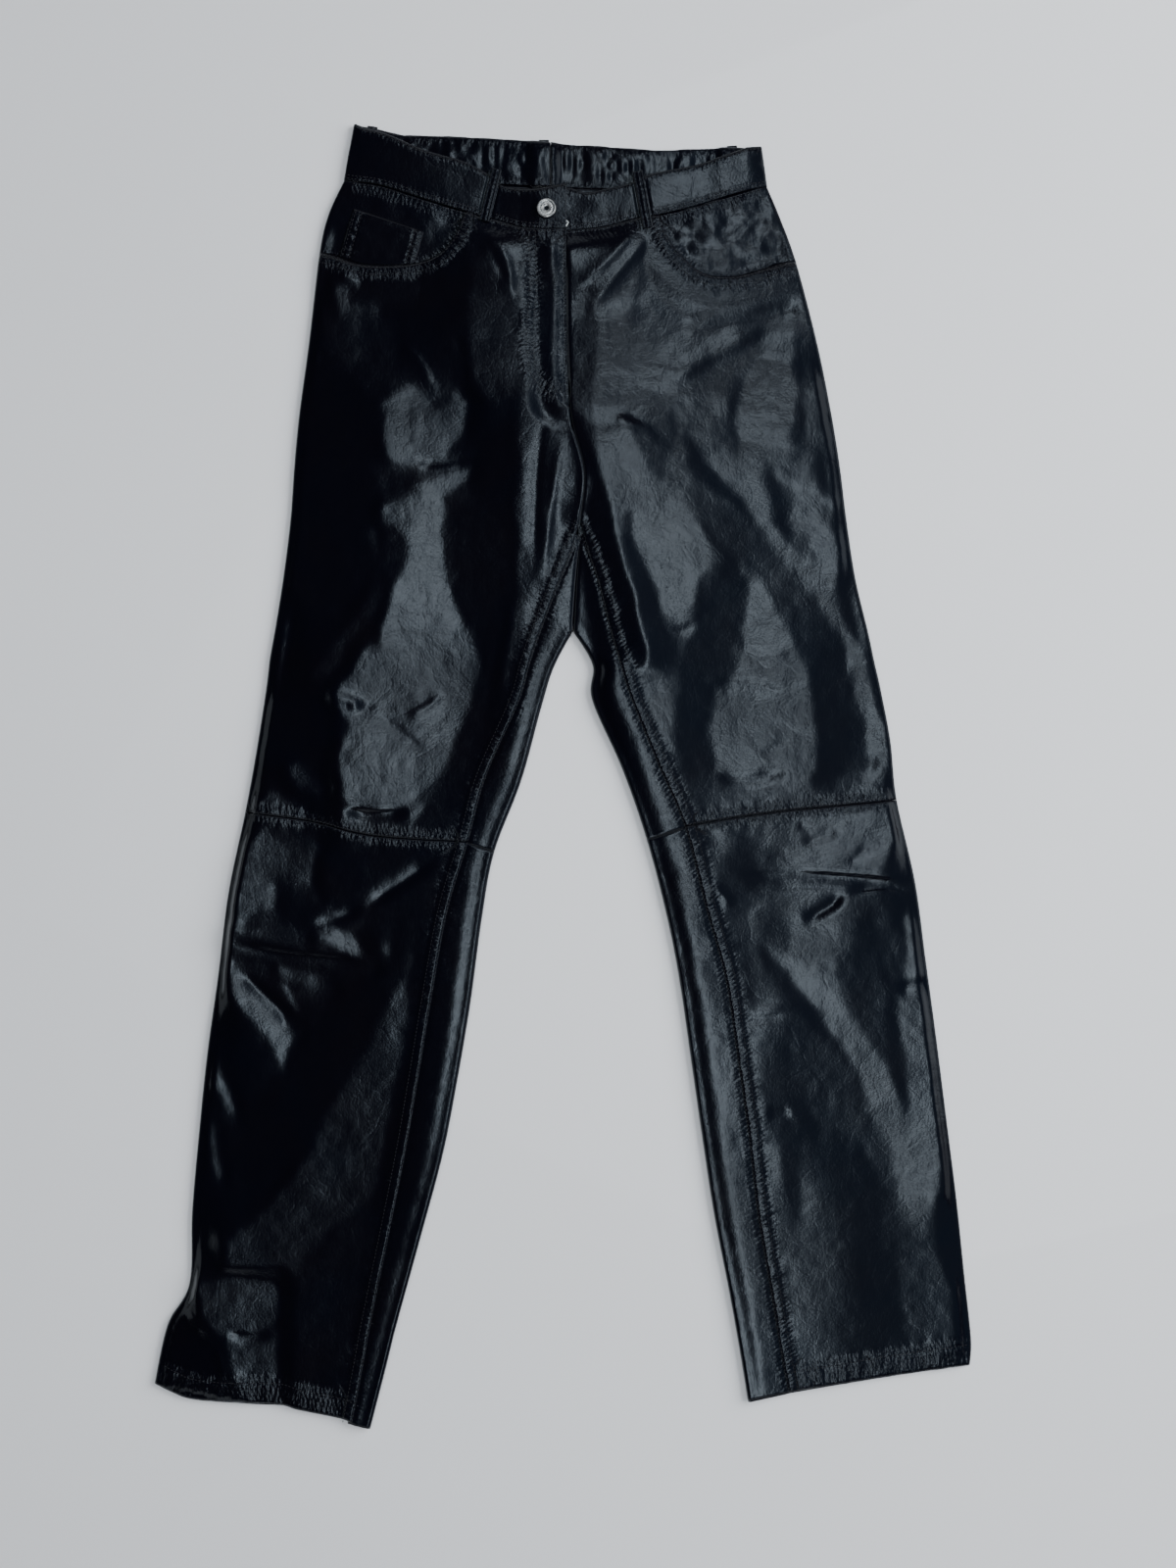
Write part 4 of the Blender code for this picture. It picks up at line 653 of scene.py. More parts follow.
def face_field():
    """Heights on a lattice whose slopes follow the table of faces as nearly as they can."""
    x, y = np.meshgrid(
        *((np.arange(count) - count / 2) * FIELD_STEP for count in FIELD_SIZE), indexing="ij"
    )
    points = stacked(x, y)
    outer = nearest(OUTER_EDGES, points)
    inner = nearest(INNER_EDGES, points)
    edge = np.minimum(outer - OUTER_RADIUS, inner - INNER_RADIUS)
    whole = np.zeros(x.shape, bool)
    for leg in LEGS:
        numbers = np.linspace(0, LAST, 3 * LAST)
        whole |= inside(np.concatenate([leg.outer(numbers), leg.inner(numbers)[::-1]]), x, y)
    held = np.where(whole, 1.0 - smooth_step(0.0, HELD_EDGE, edge), 1.0)
    rim = np.where(inner < outer, 2.0 * INNER_RADIUS, 2.0 * OUTER_RADIUS)
    level_mirrors = MM * x * (1.0 + CEILING / CAMERA_HEIGHT)

    def lean(mirrors, uneven=0.0):
        """The slope across at which each point mirrors this place on the ceiling."""
        return (level_mirrors - mirrors - uneven) / (2.0 * CEILING)

    x = x + FACE_WANDER * ripples(points, 17.0, 5)
    y = y + FACE_WANDER * ripples(points, 17.0, 6)
    uneven = UNEVENNESS * ripples(points, 27.0, 7)
    named = np.zeros(x.shape, bool)
    slopes = np.zeros((2, *x.shape))
    for mirrors, rise, *corners in FACES:
        chosen = inside(np.reshape(corners, (-1, 2)), x, y)
        named |= chosen
        slopes[0][chosen] = lean(mirrors, uneven)[chosen]
        slopes[1][chosen] = -math.tan(math.radians(rise))
    named &= edge > FREE_EDGE
    # Between the named faces the leather leans as it must, within these slopes: on the right leg,
    # at the middle and on the left leg.
    steep = 0.9 * bell(np.maximum(edge, 0.0), 11.0)
    parts = [x < RIGHT_PART, x < MIDDLE_PART]
    low = np.select(parts, [lean(-0.30), -0.04], lean(1.05)) - steep
    high = np.select(parts, [0.30, 0.0], lean(0.42)) + steep
    laid = laid_height(points, outer, inner)
    at_fly = bell(distance_to(FLY_LINE, points)[0], FLY_REACH)
    laid = laid + at_fly * (FLY_LOW_HEIGHT - laid)
    pull = LAID_PULL + FLY_PULL * at_fly
    waves = np.meshgrid(
        *(2.0 * np.pi * np.fft.fftfreq(count, FIELD_STEP) for count in FIELD_SIZE), indexing="ij"
    )
    square = waves[0] ** 2 + waves[1] ** 2
    height = laid
    for _ in range(FIELD_ROUNDS):
        spectrum = np.fft.fft2(height)
        found = [np.real(np.fft.ifft2(1j * wave * spectrum)) for wave in waves]
        wanted = np.where(named, slopes, [np.clip(found[0], low, high), 0.95 * found[1]])
        height = height + 4.0 * (np.clip(height, LOWEST, HIGHEST) - height)
        height = height + pull * (laid - height)
        height = height + held * (rim - height)
        spectrum = np.fft.fft2(height) / FIELD_PULL**2
        spectrum = spectrum - 1j * sum(
            wave * np.fft.fft2(part) for wave, part in zip(waves, wanted)
        )
        spectrum = spectrum / (square + 1.0 / FIELD_PULL**2)
        height = np.real(np.fft.ifft2(spectrum))
    height = np.real(np.fft.ifft2(np.exp(-0.5 * square * FIELD_BLUR**2) * spectrum))
    return height + held * (rim - height)


FACE_HEIGHTS = face_field()


def face_height(points):
    """The field's height at each point, smooth between the lattice's corners."""
    place = points / FIELD_STEP + np.array(FIELD_SIZE) / 2
    cell = np.floor(place).astype(int)
    share = place - cell
    weights = []
    for axis in (0, 1):
        t = share[..., axis]
        weights.append((
            0.5 * (-t + 2 * t**2 - t**3), 0.5 * (2 - 5 * t**2 + 3 * t**3),
            0.5 * (t + 4 * t**2 - 3 * t**3), 0.5 * (-(t**2) + t**3),
        ))
    lift = np.zeros(points.shape[:-1])
    for column in range(4):
        for row in range(4):
            heights = FACE_HEIGHTS[cell[..., 0] + column - 1, cell[..., 1] + row - 1]
            lift += weights[0][column] * weights[1][row] * heights
    return lift


def top_height(points):
    """Height of the front's outer face over the floor, without the fly, pockets and seams."""
    outer = nearest(OUTER_EDGES, points)
    inner = nearest(INNER_EDGES, points)
    free = smooth_step(0.0, 6.0, outer) * smooth_step(0.0, 6.0, inner)
    swell = 0.16 * ripples(points, 24.0, 2) + 0.07 * ripples(points, 8.0, 4)
    height = face_height(points) + free * (fold_lift(points, FINE_FOLDS, 1.6) + swell)
    softness = 0.3
    return LOW_HEIGHT + softness * np.logaddexp(0.0, (height - LOW_HEIGHT) / softness)


def over_pocket(side, points, height):
    """Raises the front where the pocket facing lies under it."""
    beside = 1.0 - smooth_step(25.0, 44.0, distance_to(MOUTHS[side], points)[0])
    return height + beside * np.maximum(POCKET_LIP_HEIGHT - height, 0.0)


def over_zip(leg, points, height):
    """Lays the right front over the zip, and the left front's edge under the right front."""
    edge, _, side = distance_to(FLY_LINE, points)
    target = FLY_LOW_HEIGHT + (FLY_TOP_HEIGHT - FLY_LOW_HEIGHT) * smooth_step(
        435.0, 470.0, points[..., 1]
    )
    along_fly = smooth_step(300.0, 330.0, points[..., 1])
    if leg is RIGHT_LEG:
        flat = along_fly * (1.0 - smooth_step(FLY_WIDTH - 16.0, FLY_WIDTH, edge))
        over_teeth = bell(edge - 12.0, np.where(edge > 12.0, 8.5, 5.0))
        over_teeth *= 1.0 + 0.5 * ripples(points, (9.0, 30.0), 8)
        return height + flat * (target + over_teeth - 0.03 * np.maximum(3.0 - edge, 0.0) - height)
    under = along_fly * (1.0 - smooth_step(-0.6, 1.6, edge * side))
    return height - under * np.maximum(height - (target - LEATHER - 0.25), 0.0)


def beside_band(side, points, height):
    """Brings a front to the waistband's height at their seam."""
    stations = np.array(FRONT_BAND[side])
    stations = stations[np.argsort(stations[:, 2])]
    below = band_seam_y(side, points[..., 0]) - points[..., 1]
    share = bell(np.maximum(below, 0.0), 13.0)
    target = np.interp(points[..., 0], stations[:, 2], stations[:, 4]) - 0.3
    return height + share * (target - height)


def front_height(leg, points):
    """Outer face of a front with its seams' relief, and each point's place beside a seam."""
    height = over_pocket(leg.side, points, top_height(points))
    height = beside_band(leg.side, points, over_zip(leg, points, height))
    relief, place = seam_relief(points, SEAMS[leg.side])
    return height + relief, place


# Shells


def new_object(name, data):
    item = bpy.data.objects.new(name, data)
    bpy.context.scene.collection.objects.link(item)
    return item


def mesh_data(name, mesh):
    data = bpy.data.meshes.new(name)
    mesh.to_mesh(data)
    mesh.free()
    data.shade_smooth()
    return data


def leather_shell(name, points, height, place, thickness, check=None, kept=None):
    """A thin shell on a grid of points in millimetres.

    Check is the row and column of a place, and whether it looks up (1) or down (-1).
    """
    points = with_height(points, height)
    rows, columns = points.shape[:2]
    mesh = bmesh.new()
    bmesh.ops.create_grid(mesh, x_segments=columns - 1, y_segments=rows - 1, size=0.5)
    if kept is not None:
        gone = []
        for face in mesh.faces:
            middle = face.calc_center_median()
            if not kept[int((middle.y + 0.5) * (rows - 1)), int((middle.x + 0.5) * (columns - 1))]:
                gone.append(face)
        bmesh.ops.delete(mesh, geom=gone, context="FACES")
    row, column, up = check or (rows // 2, columns // 2, 1)
    across = points[row, column + 1] - points[row, column]
    down = points[row + 1, column] - points[row, column]
    if (across[0] * down[1] - across[1] * down[0]) * up < 0.0:
        bmesh.ops.reverse_faces(mesh, faces=mesh.faces)
    data = mesh_data(name, mesh)
    flat = np.empty(3 * len(data.vertices))
    data.vertices.foreach_get("co", flat)
    flat = flat.reshape(-1, 3)
    column = np.rint((flat[:, 0] + 0.5) * (columns - 1)).astype(int)
    row = np.rint((flat[:, 1] + 0.5) * (rows - 1)).astype(int)
    data.vertices.foreach_set("co", (points[row, column] * MM).ravel())
    beside = data.attributes.new("beside_seam", "FLOAT_VECTOR", "POINT")
    beside.data.foreach_set("vector", place[row, column].ravel())
    data.update()
    item = new_object(name, data)
    wall = item.modifiers.new("leather", "SOLIDIFY")
    wall.thickness = thickness * MM
    wall.offset = -1.0
    return item


def with_height(points, height):
    return np.concatenate([points, np.asarray(height)[..., None]], axis=-1)


def between(start, end, distance):
    """Points at these distances on the lines from start to end, one line a row."""
    way = end - start
    length = np.hypot(way[:, 0], way[:, 1])
    share = distance / length[:, None]
    return start[:, None] + share[..., None] * way[:, None], share


def bow(points, share):
    """How far a curved edge strays from the straight line between its ends."""
    points = np.asarray(points, float)
    straight = points[0] + np.asarray(share)[..., None] * (points[-1] - points[0])
    return by_length(points, share) - straight


def lengths(start, end):
    return np.hypot(*(end - start).T)


def stretch(first, last, count):
    """Rows of evenly spaced distances between two distances that change from row to row."""
    share = np.linspace(0.0, 1.0, count + 1)
    first = np.broadcast_to(first, np.shape(last))
    return first[:, None] + share * (last - first)[:, None]


RIM_ANGLES = np.radians(np.linspace(0.0, 90.0, 6))
RIM = len(RIM_ANGLES)


def rim_columns(rows):
    return np.broadcast_to(OUTER_RADIUS * (1.0 - np.cos(RIM_ANGLES)), (rows, RIM))


def round_rim(height):
    """Rounds the columns along the outer edge up to the height beside them."""
    top = height[:, RIM - 1:RIM]
    height[:, :RIM] = OUTER_RADIUS + np.sin(RIM_ANGLES) * (top - OUTER_RADIUS)


def front_grid(start, end):
    """Points of a front, with its columns closer together at the seam's edge."""
    length = lengths(start, end)
    rim = rim_columns(len(length))
    count = round(float(np.mean(length)) / FRONT_GRID)
    middle = stretch(OUTER_RADIUS, length - 3.0, count)[:, 1:]
    edge = length[:, None] - np.array([2.0, 1.2, 0.6, 0.0])
    return between(start, end, np.concatenate([rim, middle, edge], axis=1))


def front_seam(leg, place):
    """The front's edge at the centre, then lapped over the back along the inner leg seam."""
    seam = leg.seam(place)
    shift = np.full(len(seam), -SEAM_GAP * leg.inward)
    shift = shift + LAP * leg.inward * smooth_step(CROTCH, CROTCH + 0.8, place)
    if leg is LEFT_LEG:
        hidden = smooth_step(345.0, 372.0, seam[:, 1])
        shift = shift - (UNDERLAP + SEAM_GAP) * hidden
    seam[:, 0] += shift
    return seam


def front_top_edge(leg):
    """Upper edge of the front: along the pocket mouth, then along the waistband to the fly."""
    mouth = MOUTHS[leg.side]
    end_x = 3.2 if leg is RIGHT_LEG else 3.5 - UNDERLAP
    x = np.linspace(mouth[-1, 0], end_x, 60)[1:]
    return np.concatenate([mouth, stacked(x, band_seam_y(leg.side, x) - BAND_GAP)])


def finish_front(part, leg, points, middle_line):
    """A front's shell, curling down at the seams across the leg and at its own inner edge."""
    height, place = front_height(leg, points)
    rows_in = walked_length(middle_line)
    drop = bell(rows_in[-1] - rows_in, CURL_REACH)
    if part == "shin":
        drop = drop + bell(rows_in - rows_in[0], CURL_REACH)
    height = height - END_CURL * drop[:, None]
    inward = np.hypot(*np.moveaxis(points - points[:, -1:], -1, 0))
    curl = 0.5 - 0.42 * smooth_step(325.0, 340.0, points[..., 1]) * (leg is RIGHT_LEG)
    height = height - curl * bell(inward, 1.1)
    round_rim(height)
    return leather_shell(f"leather_front_{part}_{leg.side}", points, height, place, LEATHER)


def front_thigh(leg):
    place = leg.rows("waist", "knee", FRONT_GRID)
    full = NUMBER["seat"]
    first = NUMBER["pocket"]
    start = leg.outer(np.where(place < full, first + place * (full - first) / full, place))
    end = front_seam(leg, place)
    top_edge = front_top_edge(leg)
    end[0] = top_edge[-1]
    corner = len(MOUTHS[leg.side]) - 1
    corner_share = 0.6
    lower = walked_length(top_edge[:corner + 1])
    upper = walked_length(top_edge[corner:])
    walked = np.concatenate([
        corner_share * lower / lower[-1],
        corner_share + (1.0 - corner_share) * upper[1:] / upper[-1],
    ])
    points, share = front_grid(start, end)
    straight = top_edge[0] + share[..., None] * (top_edge[-1] - top_edge[0])
    top_bow = read_at(share, walked, top_edge) - straight
    fade_top = np.clip(1.0 - place / full, 0.0, 1.0)[:, None, None]
    fade_low = smooth_step(NUMBER["mid_thigh"], NUMBER["knee"], place)[:, None, None]
    points = points + fade_top * top_bow + fade_low * bow(KNEE_SEAM[leg.side], share)
    points[-1, :, 1] += END_GAP
    return finish_front("thigh", leg, points, 0.5 * (start + end))


def front_shin(leg):
    place = leg.rows("knee", "hem", FRONT_GRID)
    start = leg.outer(place)
    end = front_seam(leg, place)
    fade_top = 1.0 - smooth_step(NUMBER["knee"], NUMBER["mid_calf"], place)
    fade_low = smooth_step(NUMBER["low_shin"], NUMBER["hem"], place)
    points, share = front_grid(start, end)
    points = points + fade_top[:, None, None] * bow(KNEE_SEAM[leg.side], share)
    points = points + fade_low[:, None, None] * bow(HEM[leg.side], share)
    points[0, :, 1] -= END_GAP
    return finish_front("shin", leg, points, 0.5 * (start + end))


EDGE_GAP = 0.2  # from the shell to the solid's inner edge
STRIP_SINK = 0.45  # how far the strip beside the inner leg seam sinks under the front
SEAT_DENT = 0.8
FOLD_ANGLES = np.radians(np.linspace(-90.0, 90.0, 11))
UNDER_CELLS = 40
STRIP_CELLS = 16


def back_shell(leg, first, last):
    """A back piece: flat on the floor, round the inner edge and up to the inner leg seam."""
    place = leg.rows(first, last, BACK_GRID)
    count = len(place)
    start = leg.outer(place)
    edge = leg.inner(place)
    edge[:, 0] -= EDGE_GAP * leg.inward
    seam = leg.seam(place)
    seam[:, 0] += SEAM_GAP * leg.inward
    above = place < NOTCH
    turn = np.where(above, 0.0, INNER_RADIUS)
    under = stretch(OUTER_RADIUS, lengths(start, edge) - turn, UNDER_CELLS)[:, 1:]
    flat, _ = between(start, edge, np.concatenate([rim_columns(count), under], axis=1))
    low = np.zeros(flat.shape[:2])
    low[:, :RIM] = OUTER_RADIUS * (1.0 - np.sin(RIM_ANGLES))
    angles = FOLD_ANGLES[1:-1]
    depth = INNER_RADIUS * (1.0 - np.cos(angles))
    round_edge, _ = between(edge, start, np.broadcast_to(depth, (count, len(depth))))
    seat_share = np.clip((place - CROTCH) / (NOTCH - CROTCH), 0, 1)
    strip_start = np.where(above[:, None], curve_through(SEAT_SEAM, 2.0 * seat_share), edge)
    strip_start[above, 0] -= EDGE_GAP * leg.inward
    strip, _ = between(
        strip_start, seam, stretch(turn, lengths(strip_start, seam), STRIP_CELLS)
    )
    height = top_height(strip)
    strip_place = seam_relief(strip, SEAMS[leg.side][INSEAM])[1]
    distance = distance_to(INSEAMS[leg.side], strip)[0]
    height = height - STRIP_SINK * (1.0 - smooth_step(4.2, 7.5, distance))
    if first == "waist":
        height = height - SEAT_DENT * bell(distance_to(SEAT_SEAM, strip)[0], 2.0)
    upper = np.where(angles > 0, height[:, :1] - INNER_RADIUS, INNER_RADIUS)
    rise = INNER_RADIUS + np.sin(angles) * upper
    points = np.concatenate([flat, round_edge, strip], axis=1)
    height = np.concatenate([low, rise, height], axis=1)
    where = np.zeros((*height.shape, 3))
    where[:, -strip.shape[1]:] = strip_place
    across = flat.shape[1]
    if first == "waist":
        points[0, :, 1] = back_seam_y(leg.side, points[0, :, 0]) - 0.4
        points[-1, :, 1] += END_GAP
    else:
        points[0, :, 1] -= END_GAP
        fade = smooth_step(NUMBER["low_shin"], NUMBER["hem"], place)[:, None, None]
        share = (flat[:, :, 0] - flat[:, :1, 0]) / (flat[:, -1:, 0] - flat[:, :1, 0])
        points[:, :across] += fade * bow(HEM[leg.side], share)
    # Above the notch there is no fold, and no strip far above the crotch.
    kept = np.ones((count - 1, height.shape[1] - 1), bool)
    fold = slice(across - 1, across + len(FOLD_ANGLES) - 2)
    kept[place[:-1] < NOTCH, fold] = False
    kept[place[:-1] < NUMBER["thigh"] - 0.75, fold.stop:] = False
    name = f"leather_back_{'thigh' if first == 'waist' else 'shin'}_{leg.side}"
    check = (count // 2, RIM + UNDER_CELLS // 2, -1)
    return leather_shell(name, points, height, where, LEATHER, check, kept)


# Waistband

BAND_ROWS = (2.6, -1.6, -4.4)  # rows of stitches, from the top edge and from the lower edge
BAND_SEEDS = {"right": 21, "left": 22}
BAND_CALM = {"right": 0.22, "left": 0.8}  # share of the full gathers


def loop_hump(x):
    """How far the band is lifted off the floor by the loops under it."""
    away = np.min([np.abs(x - place) for place in BACK_LOOP_X.values()], axis=0)
    return BACK_LOOP_LIFT * (1.0 - smooth_step(6.6, 17.0, away))


def back_stations(side):
    """The back's stations in order of X at the top edge."""
    back = np.array(BACK_BAND[side])
    return back[np.argsort(back[:, 0])]


def band_columns(leg):
    """Top edge, lower edge and height along one half of the band, and how many are in front."""
    stations = np.array(FRONT_BAND[leg.side])
    place = np.linspace(0, len(stations) - 1, 120)
    front = curve_through(stations, place)
    front[:, 4] = np.interp(place, np.arange(len(stations)), stations[:, 4])
    angles = np.radians(np.linspace(75.0, -90.0, 12))
    inward = BAND_FOLD_RADIUS * (1.0 - np.cos(angles)) * leg.inward
    top_x, top_y, seam_x, seam_y = BAND_SIDE[leg.side]
    height = BAND_FOLD_RADIUS * (1.0 + np.sin(angles))
    fold = stacked(top_x + inward, top_y, seam_x + inward, seam_y, height)
    ends = BACK_BAND[leg.side]
    x = np.linspace(ends[0][0], ends[-1][0] - SEAM_GAP * leg.inward, 120)
    stations = back_stations(leg.side)
    rest = read_at(x, stations[:, 0], stations[:, 1:4])
    back = np.concatenate([x[:, None], rest, loop_hump(x)[:, None]], axis=1)
    return np.concatenate([front, fold, back]), len(front)


def band_shell(leg):
    """One half of the band: along the front, over the side fold and along the back."""
    columns, in_front = band_columns(leg)
    share = np.array([0.0, 0.01, 0.03, 0.06, *np.linspace(0.1, 0.92, 20), 0.95, 0.975, 1.0])
    share = share[:, None, None]
    points = columns[:, 0:2] + share * (columns[:, 2:4] - columns[:, 0:2])
    height = np.broadcast_to(columns[:, 4], points.shape[:2]).copy()
    # Front part: edges rolled, rows of stitches along the top and the seam, puckers.
    is_front = np.zeros(len(columns))
    is_front[:in_front] = 1.0
    is_front[in_front:in_front + 6] = np.linspace(1.0, 0.0, 6)
    depth = lengths(columns[:, 0:2], columns[:, 2:4])
    down = share[..., 0] * depth
    up = depth - down
    edge = np.minimum(down, up)
    along = np.broadcast_to(walked_length(points[len(share) // 2]), points.shape[:2])
    waves = stacked(along, 0.3 * down)
    seed = BAND_SEEDS[leg.side]
    gathers = ripples(waves, 8.0, seed) + 0.6 * ripples(waves, 4.5, seed + 10)
    relief = -1.1 * bell(down, 1.0) - 0.5 * bell(up, 0.8)
    for row in BAND_ROWS:
        relief -= STITCH_DENT * bell((down if row > 0.0 else up) - abs(row), 0.8)
    loop = distance_to(np.array(FRONT_LOOPS[leg.side], float), points)[0]
    relief -= 0.7 * bell(loop - 0.5 * LOOP_WIDTH - 0.6, 1.0)
    swell = ripples(points, 20.0, 31) * np.sin(np.pi * np.clip(share[..., 0], 0, 1))
    gathers = BAND_CALM[leg.side] * (0.3 * bell(edge, 7.0) * gathers + 0.5 * swell)
    height += is_front * (relief + gathers)
    # Back part: its inner face is up, drawn in by the seams above and below.
    inner_face = (1.0 - is_front) * np.sin(np.pi * np.clip(down / depth, 0, 1)) ** 0.5
    flutes = ripples(stacked(along, 0.15 * down), 9.0, seed + 20)
    flutes += 0.5 * ripples(stacked(along, 0.5 * down), 5.0, seed + 30)
    height += inner_face * np.maximum(0.9 + 0.9 * flutes, 0.0)
    item = leather_shell(
        f"leather_waistband_{leg.side}", points, height,
        stacked(along, edge, 0.9 * bell(edge, 5.0)), BAND_LEATHER, (len(share) // 2, 40, 1),
    )
    made = []
    clear = (loop[len(share) // 2] > 0.5 * LOOP_WIDTH + 1.0) & (is_front > 0.9)
    for row in BAND_ROWS:
        at = (row if row > 0.0 else depth + row) / depth
        line = columns[:, 0:2] + at[:, None] * (columns[:, 2:4] - columns[:, 0:2])
        level = [np.interp(at[index], share[:, 0, 0], height[:, index]) for index in range(len(at))]
        line = with_height(line, np.array(level) + THREAD_LIFT)
        made += np.split(line, np.flatnonzero(np.diff(clear)) + 1)[0 if clear[0] else 1::2]
    return item, made


def strap_shell(name, start, end, heights, thickness=LOOP_LEATHER, lean=0.0):
    """A belt loop: a folded strip with rolled edges and two rows of stitches."""
    start = np.array(start, float)
    end = np.array(end, float)
    length = np.hypot(*(end - start))
    way = (end - start) / length
    rows = round(length / 0.9)
    share = np.linspace(0.0, 1.0, rows + 1)[:, None]
    half = 0.5 * LOOP_WIDTH
    offset = half * np.array([-1, -0.97, -0.9, -0.82, -0.74, -0.66, -0.58, -0.5, -0.4, -0.2, 0])
    offset = np.concatenate([offset, -offset[-2::-1]])
    sideways = offset[None, :, None] * np.array([-way[1], way[0]])
    points = start + share[..., None] * (end - start) + sideways
    edge = half - np.abs(offset)
    height = np.interp(share, np.linspace(0, 1, len(heights)), heights)
    height = height + (-0.6 * bell(edge, 0.6) - 0.35 * bell(edge - 2.2, 0.7)) + lean * offset
    along = share * length
    waves = ripples(stacked(along, 0.25 * offset), 3.6, 51)
    height = height + 0.2 * waves * bell(np.abs(offset), 2.6, 4)
    return leather_shell(name, points, height, stacked(along, offset, 0.7), thickness)


# Pockets


def facing_height(side, points):
    """Height of the pocket facing's outer face."""
    outer = nearest(OUTER_EDGES, points)
    mouth, _, turn = distance_to(MOUTHS[side], points)
    seen = np.where(turn * (1.0 if side == "right" else -1.0) > 0, mouth, 0.0)
    height = FACING_HEIGHT + 1.1 * smooth_step(10.0, 30.0, seen)
    rim = 1.0 - smooth_step(0.0, 10.0, np.maximum(outer - OUTER_RADIUS, 0.0))
    height = height + rim * (2.0 * OUTER_RADIUS - height)
    bumps = smooth_step(3.0, 10.0, outer) * smooth_step(2.0, 8.0, seen)
    bumps = bumps * (0.22 if side == "right" else 0.6)
    return height + bumps * (ripples(points, 14.0, 61) + 0.4 * ripples(points, 6.0, 62))


def facing_shell(leg):
    """The piece seen in the pocket, from the band's seam to some way under the mouth's lip."""
    side = leg.side
    mouth = MOUTHS[side]
    hidden = 14.0 * smooth_step(22.0, 42.0, nearest(OUTER_EDGES, mouth))
    lower = mouth + stacked(0.0, 0.4 * (hidden < 0.1) - hidden)
    lower = lower[mouth[:, 1] - hidden < 470.0]
    inner_x = mouth[-1, 0] + 11.0 * leg.inward
    lower_edge = np.concatenate([lower, [(inner_x, 468.0)]])
    down = np.linspace(0.0, 1.0, 34)
    start = leg.outer(down * NUMBER["pocket"])
    start[-1] = lower[0]
    end_top = np.array([inner_x, band_seam_y(side, inner_x) - BAND_GAP])
    end = end_top + down[:, None] * (lower_edge[-1] - end_top)
    flat = stretch(OUTER_RADIUS, lengths(start, end), 64)[:, 1:]
    points, share = between(start, end, np.concatenate([rim_columns(len(down)), flat], axis=1))
    straight = start[0] + share[..., None] * (end_top - start[0])
    top_line = straight.copy()
    top_line[..., 1] = band_seam_y(side, straight[..., 0]) - BAND_GAP
    fade = down[:, None, None]
    points = points + (1.0 - fade) * (top_line - straight) + fade * bow(lower_edge, share)
    height = facing_height(side, points)
    round_rim(height)
    place = seam_relief(points, SEAMS[side][MOUTH_AND_BAND])[1]
    return leather_shell(f"leather_pocket_facing_{side}", points, height, place, POCKET_LEATHER)


COIN_ROWS = (2.2, 8.0)
COIN_WIDTH = 66.0
COIN_LEATHER = 1.1
COIN_GAP = 0.35


def coin_pocket_shell():
    """A small pocket on the right facing, running down into the pocket mouth."""
    share = np.linspace(0.0, 1.0, 48)
    top = stacked(-186.5 + share * 63.0, 508.0 - share * 21.0)
    x = -200.0 + share * 68.5
    mouth = MOUTHS["right"]
    low = stacked(x, np.interp(x, mouth[:, 0], mouth[:, 1]) + 0.6)
    down = np.linspace(0.0, 1.0, 30)[:, None]
    points = top + down[..., None] * (low - top)
    aside = COIN_WIDTH * np.minimum(share, 1.0 - share)
    below = down * lengths(low, top).mean()
    height = facing_height("right", points) + COIN_GAP + COIN_LEATHER
    height -= 0.8 * bell(aside, 1.0) + 0.8 * bell(below, 1.0)
    for row in COIN_ROWS:
        height -= 0.45 * bell(aside - row, 0.9)
    height -= 0.3 * bell(below - 2.4, 0.9)
    height += 0.5 * ripples(stacked(below, 0.4 * aside), 4.0, 71) * bell(aside - 5.0, 3.0)
    made = []
    for row in (*COIN_ROWS, *(COIN_WIDTH - row for row in COIN_ROWS)):
        column = round(row / COIN_WIDTH * (len(share) - 1))
        made.append(with_height(points[1:-1, column], height[1:-1, column] + THREAD_LIFT))
    place = stacked(below, aside, bell(np.maximum(aside - COIN_ROWS[1], 0.0), 4.0))
    return leather_shell("leather_coin_pocket", points, height, place, POCKET_LEATHER), made


# Materials


class Graph:
    """A material's nodes, added by one call for each."""

    def __init__(self, name):
        self.material = bpy.data.materials.new(name)
        self.material.use_nodes = True
        self.tree = self.material.node_tree
        self.shader = self.tree.nodes["Principled BSDF"]
        self.place = self.add("ShaderNodeTexCoord", output=3)

    def add(self, kind, settings=(), output=0, **sockets):
        """Adds a node; sockets go by name, with spaces as underscores, or by number, as i0."""
        node = self.tree.nodes.new(kind)
        for name, value in dict(settings).items():
            setattr(node, name, value)
        for name, value in sockets.items():
            key = int(name[1:]) if name[1:].isdigit() else name.replace("_", " ")
            self.feed(node.inputs[key], value)
        return Value(self, node.outputs[output])

    def feed(self, socket, value):
        if isinstance(value, Value):
            self.tree.links.new(value.socket, socket)
        else:
            socket.default_value = value

    def finish(self, **sockets):
        for name, value in sockets.items():
            self.feed(self.shader.inputs[name.replace("_", " ")], value)
        return self.material

    def noise(self, scale, detail, distortion=0.0):
        return self.add(
            "ShaderNodeTexNoise", Vector=self.place, Scale=scale, Detail=detail,
            Distortion=distortion,
        )


class Value:
    """A shader socket; sums written with it add Math nodes."""

    def __init__(self, graph, socket):
        self.graph = graph
        self.socket = socket

    def math(self, operation, *others):
        sockets = {f"i{index}": value for index, value in enumerate((self, *others))}
        return self.graph.add("ShaderNodeMath", {"operation": operation}, **sockets)

    def __add__(self, other):
        return self.math("ADD", other)

    def __mul__(self, other):
        return self.math("MULTIPLY", other)

    def __sub__(self, other):
        return self.math("SUBTRACT", other)

    __radd__ = __add__


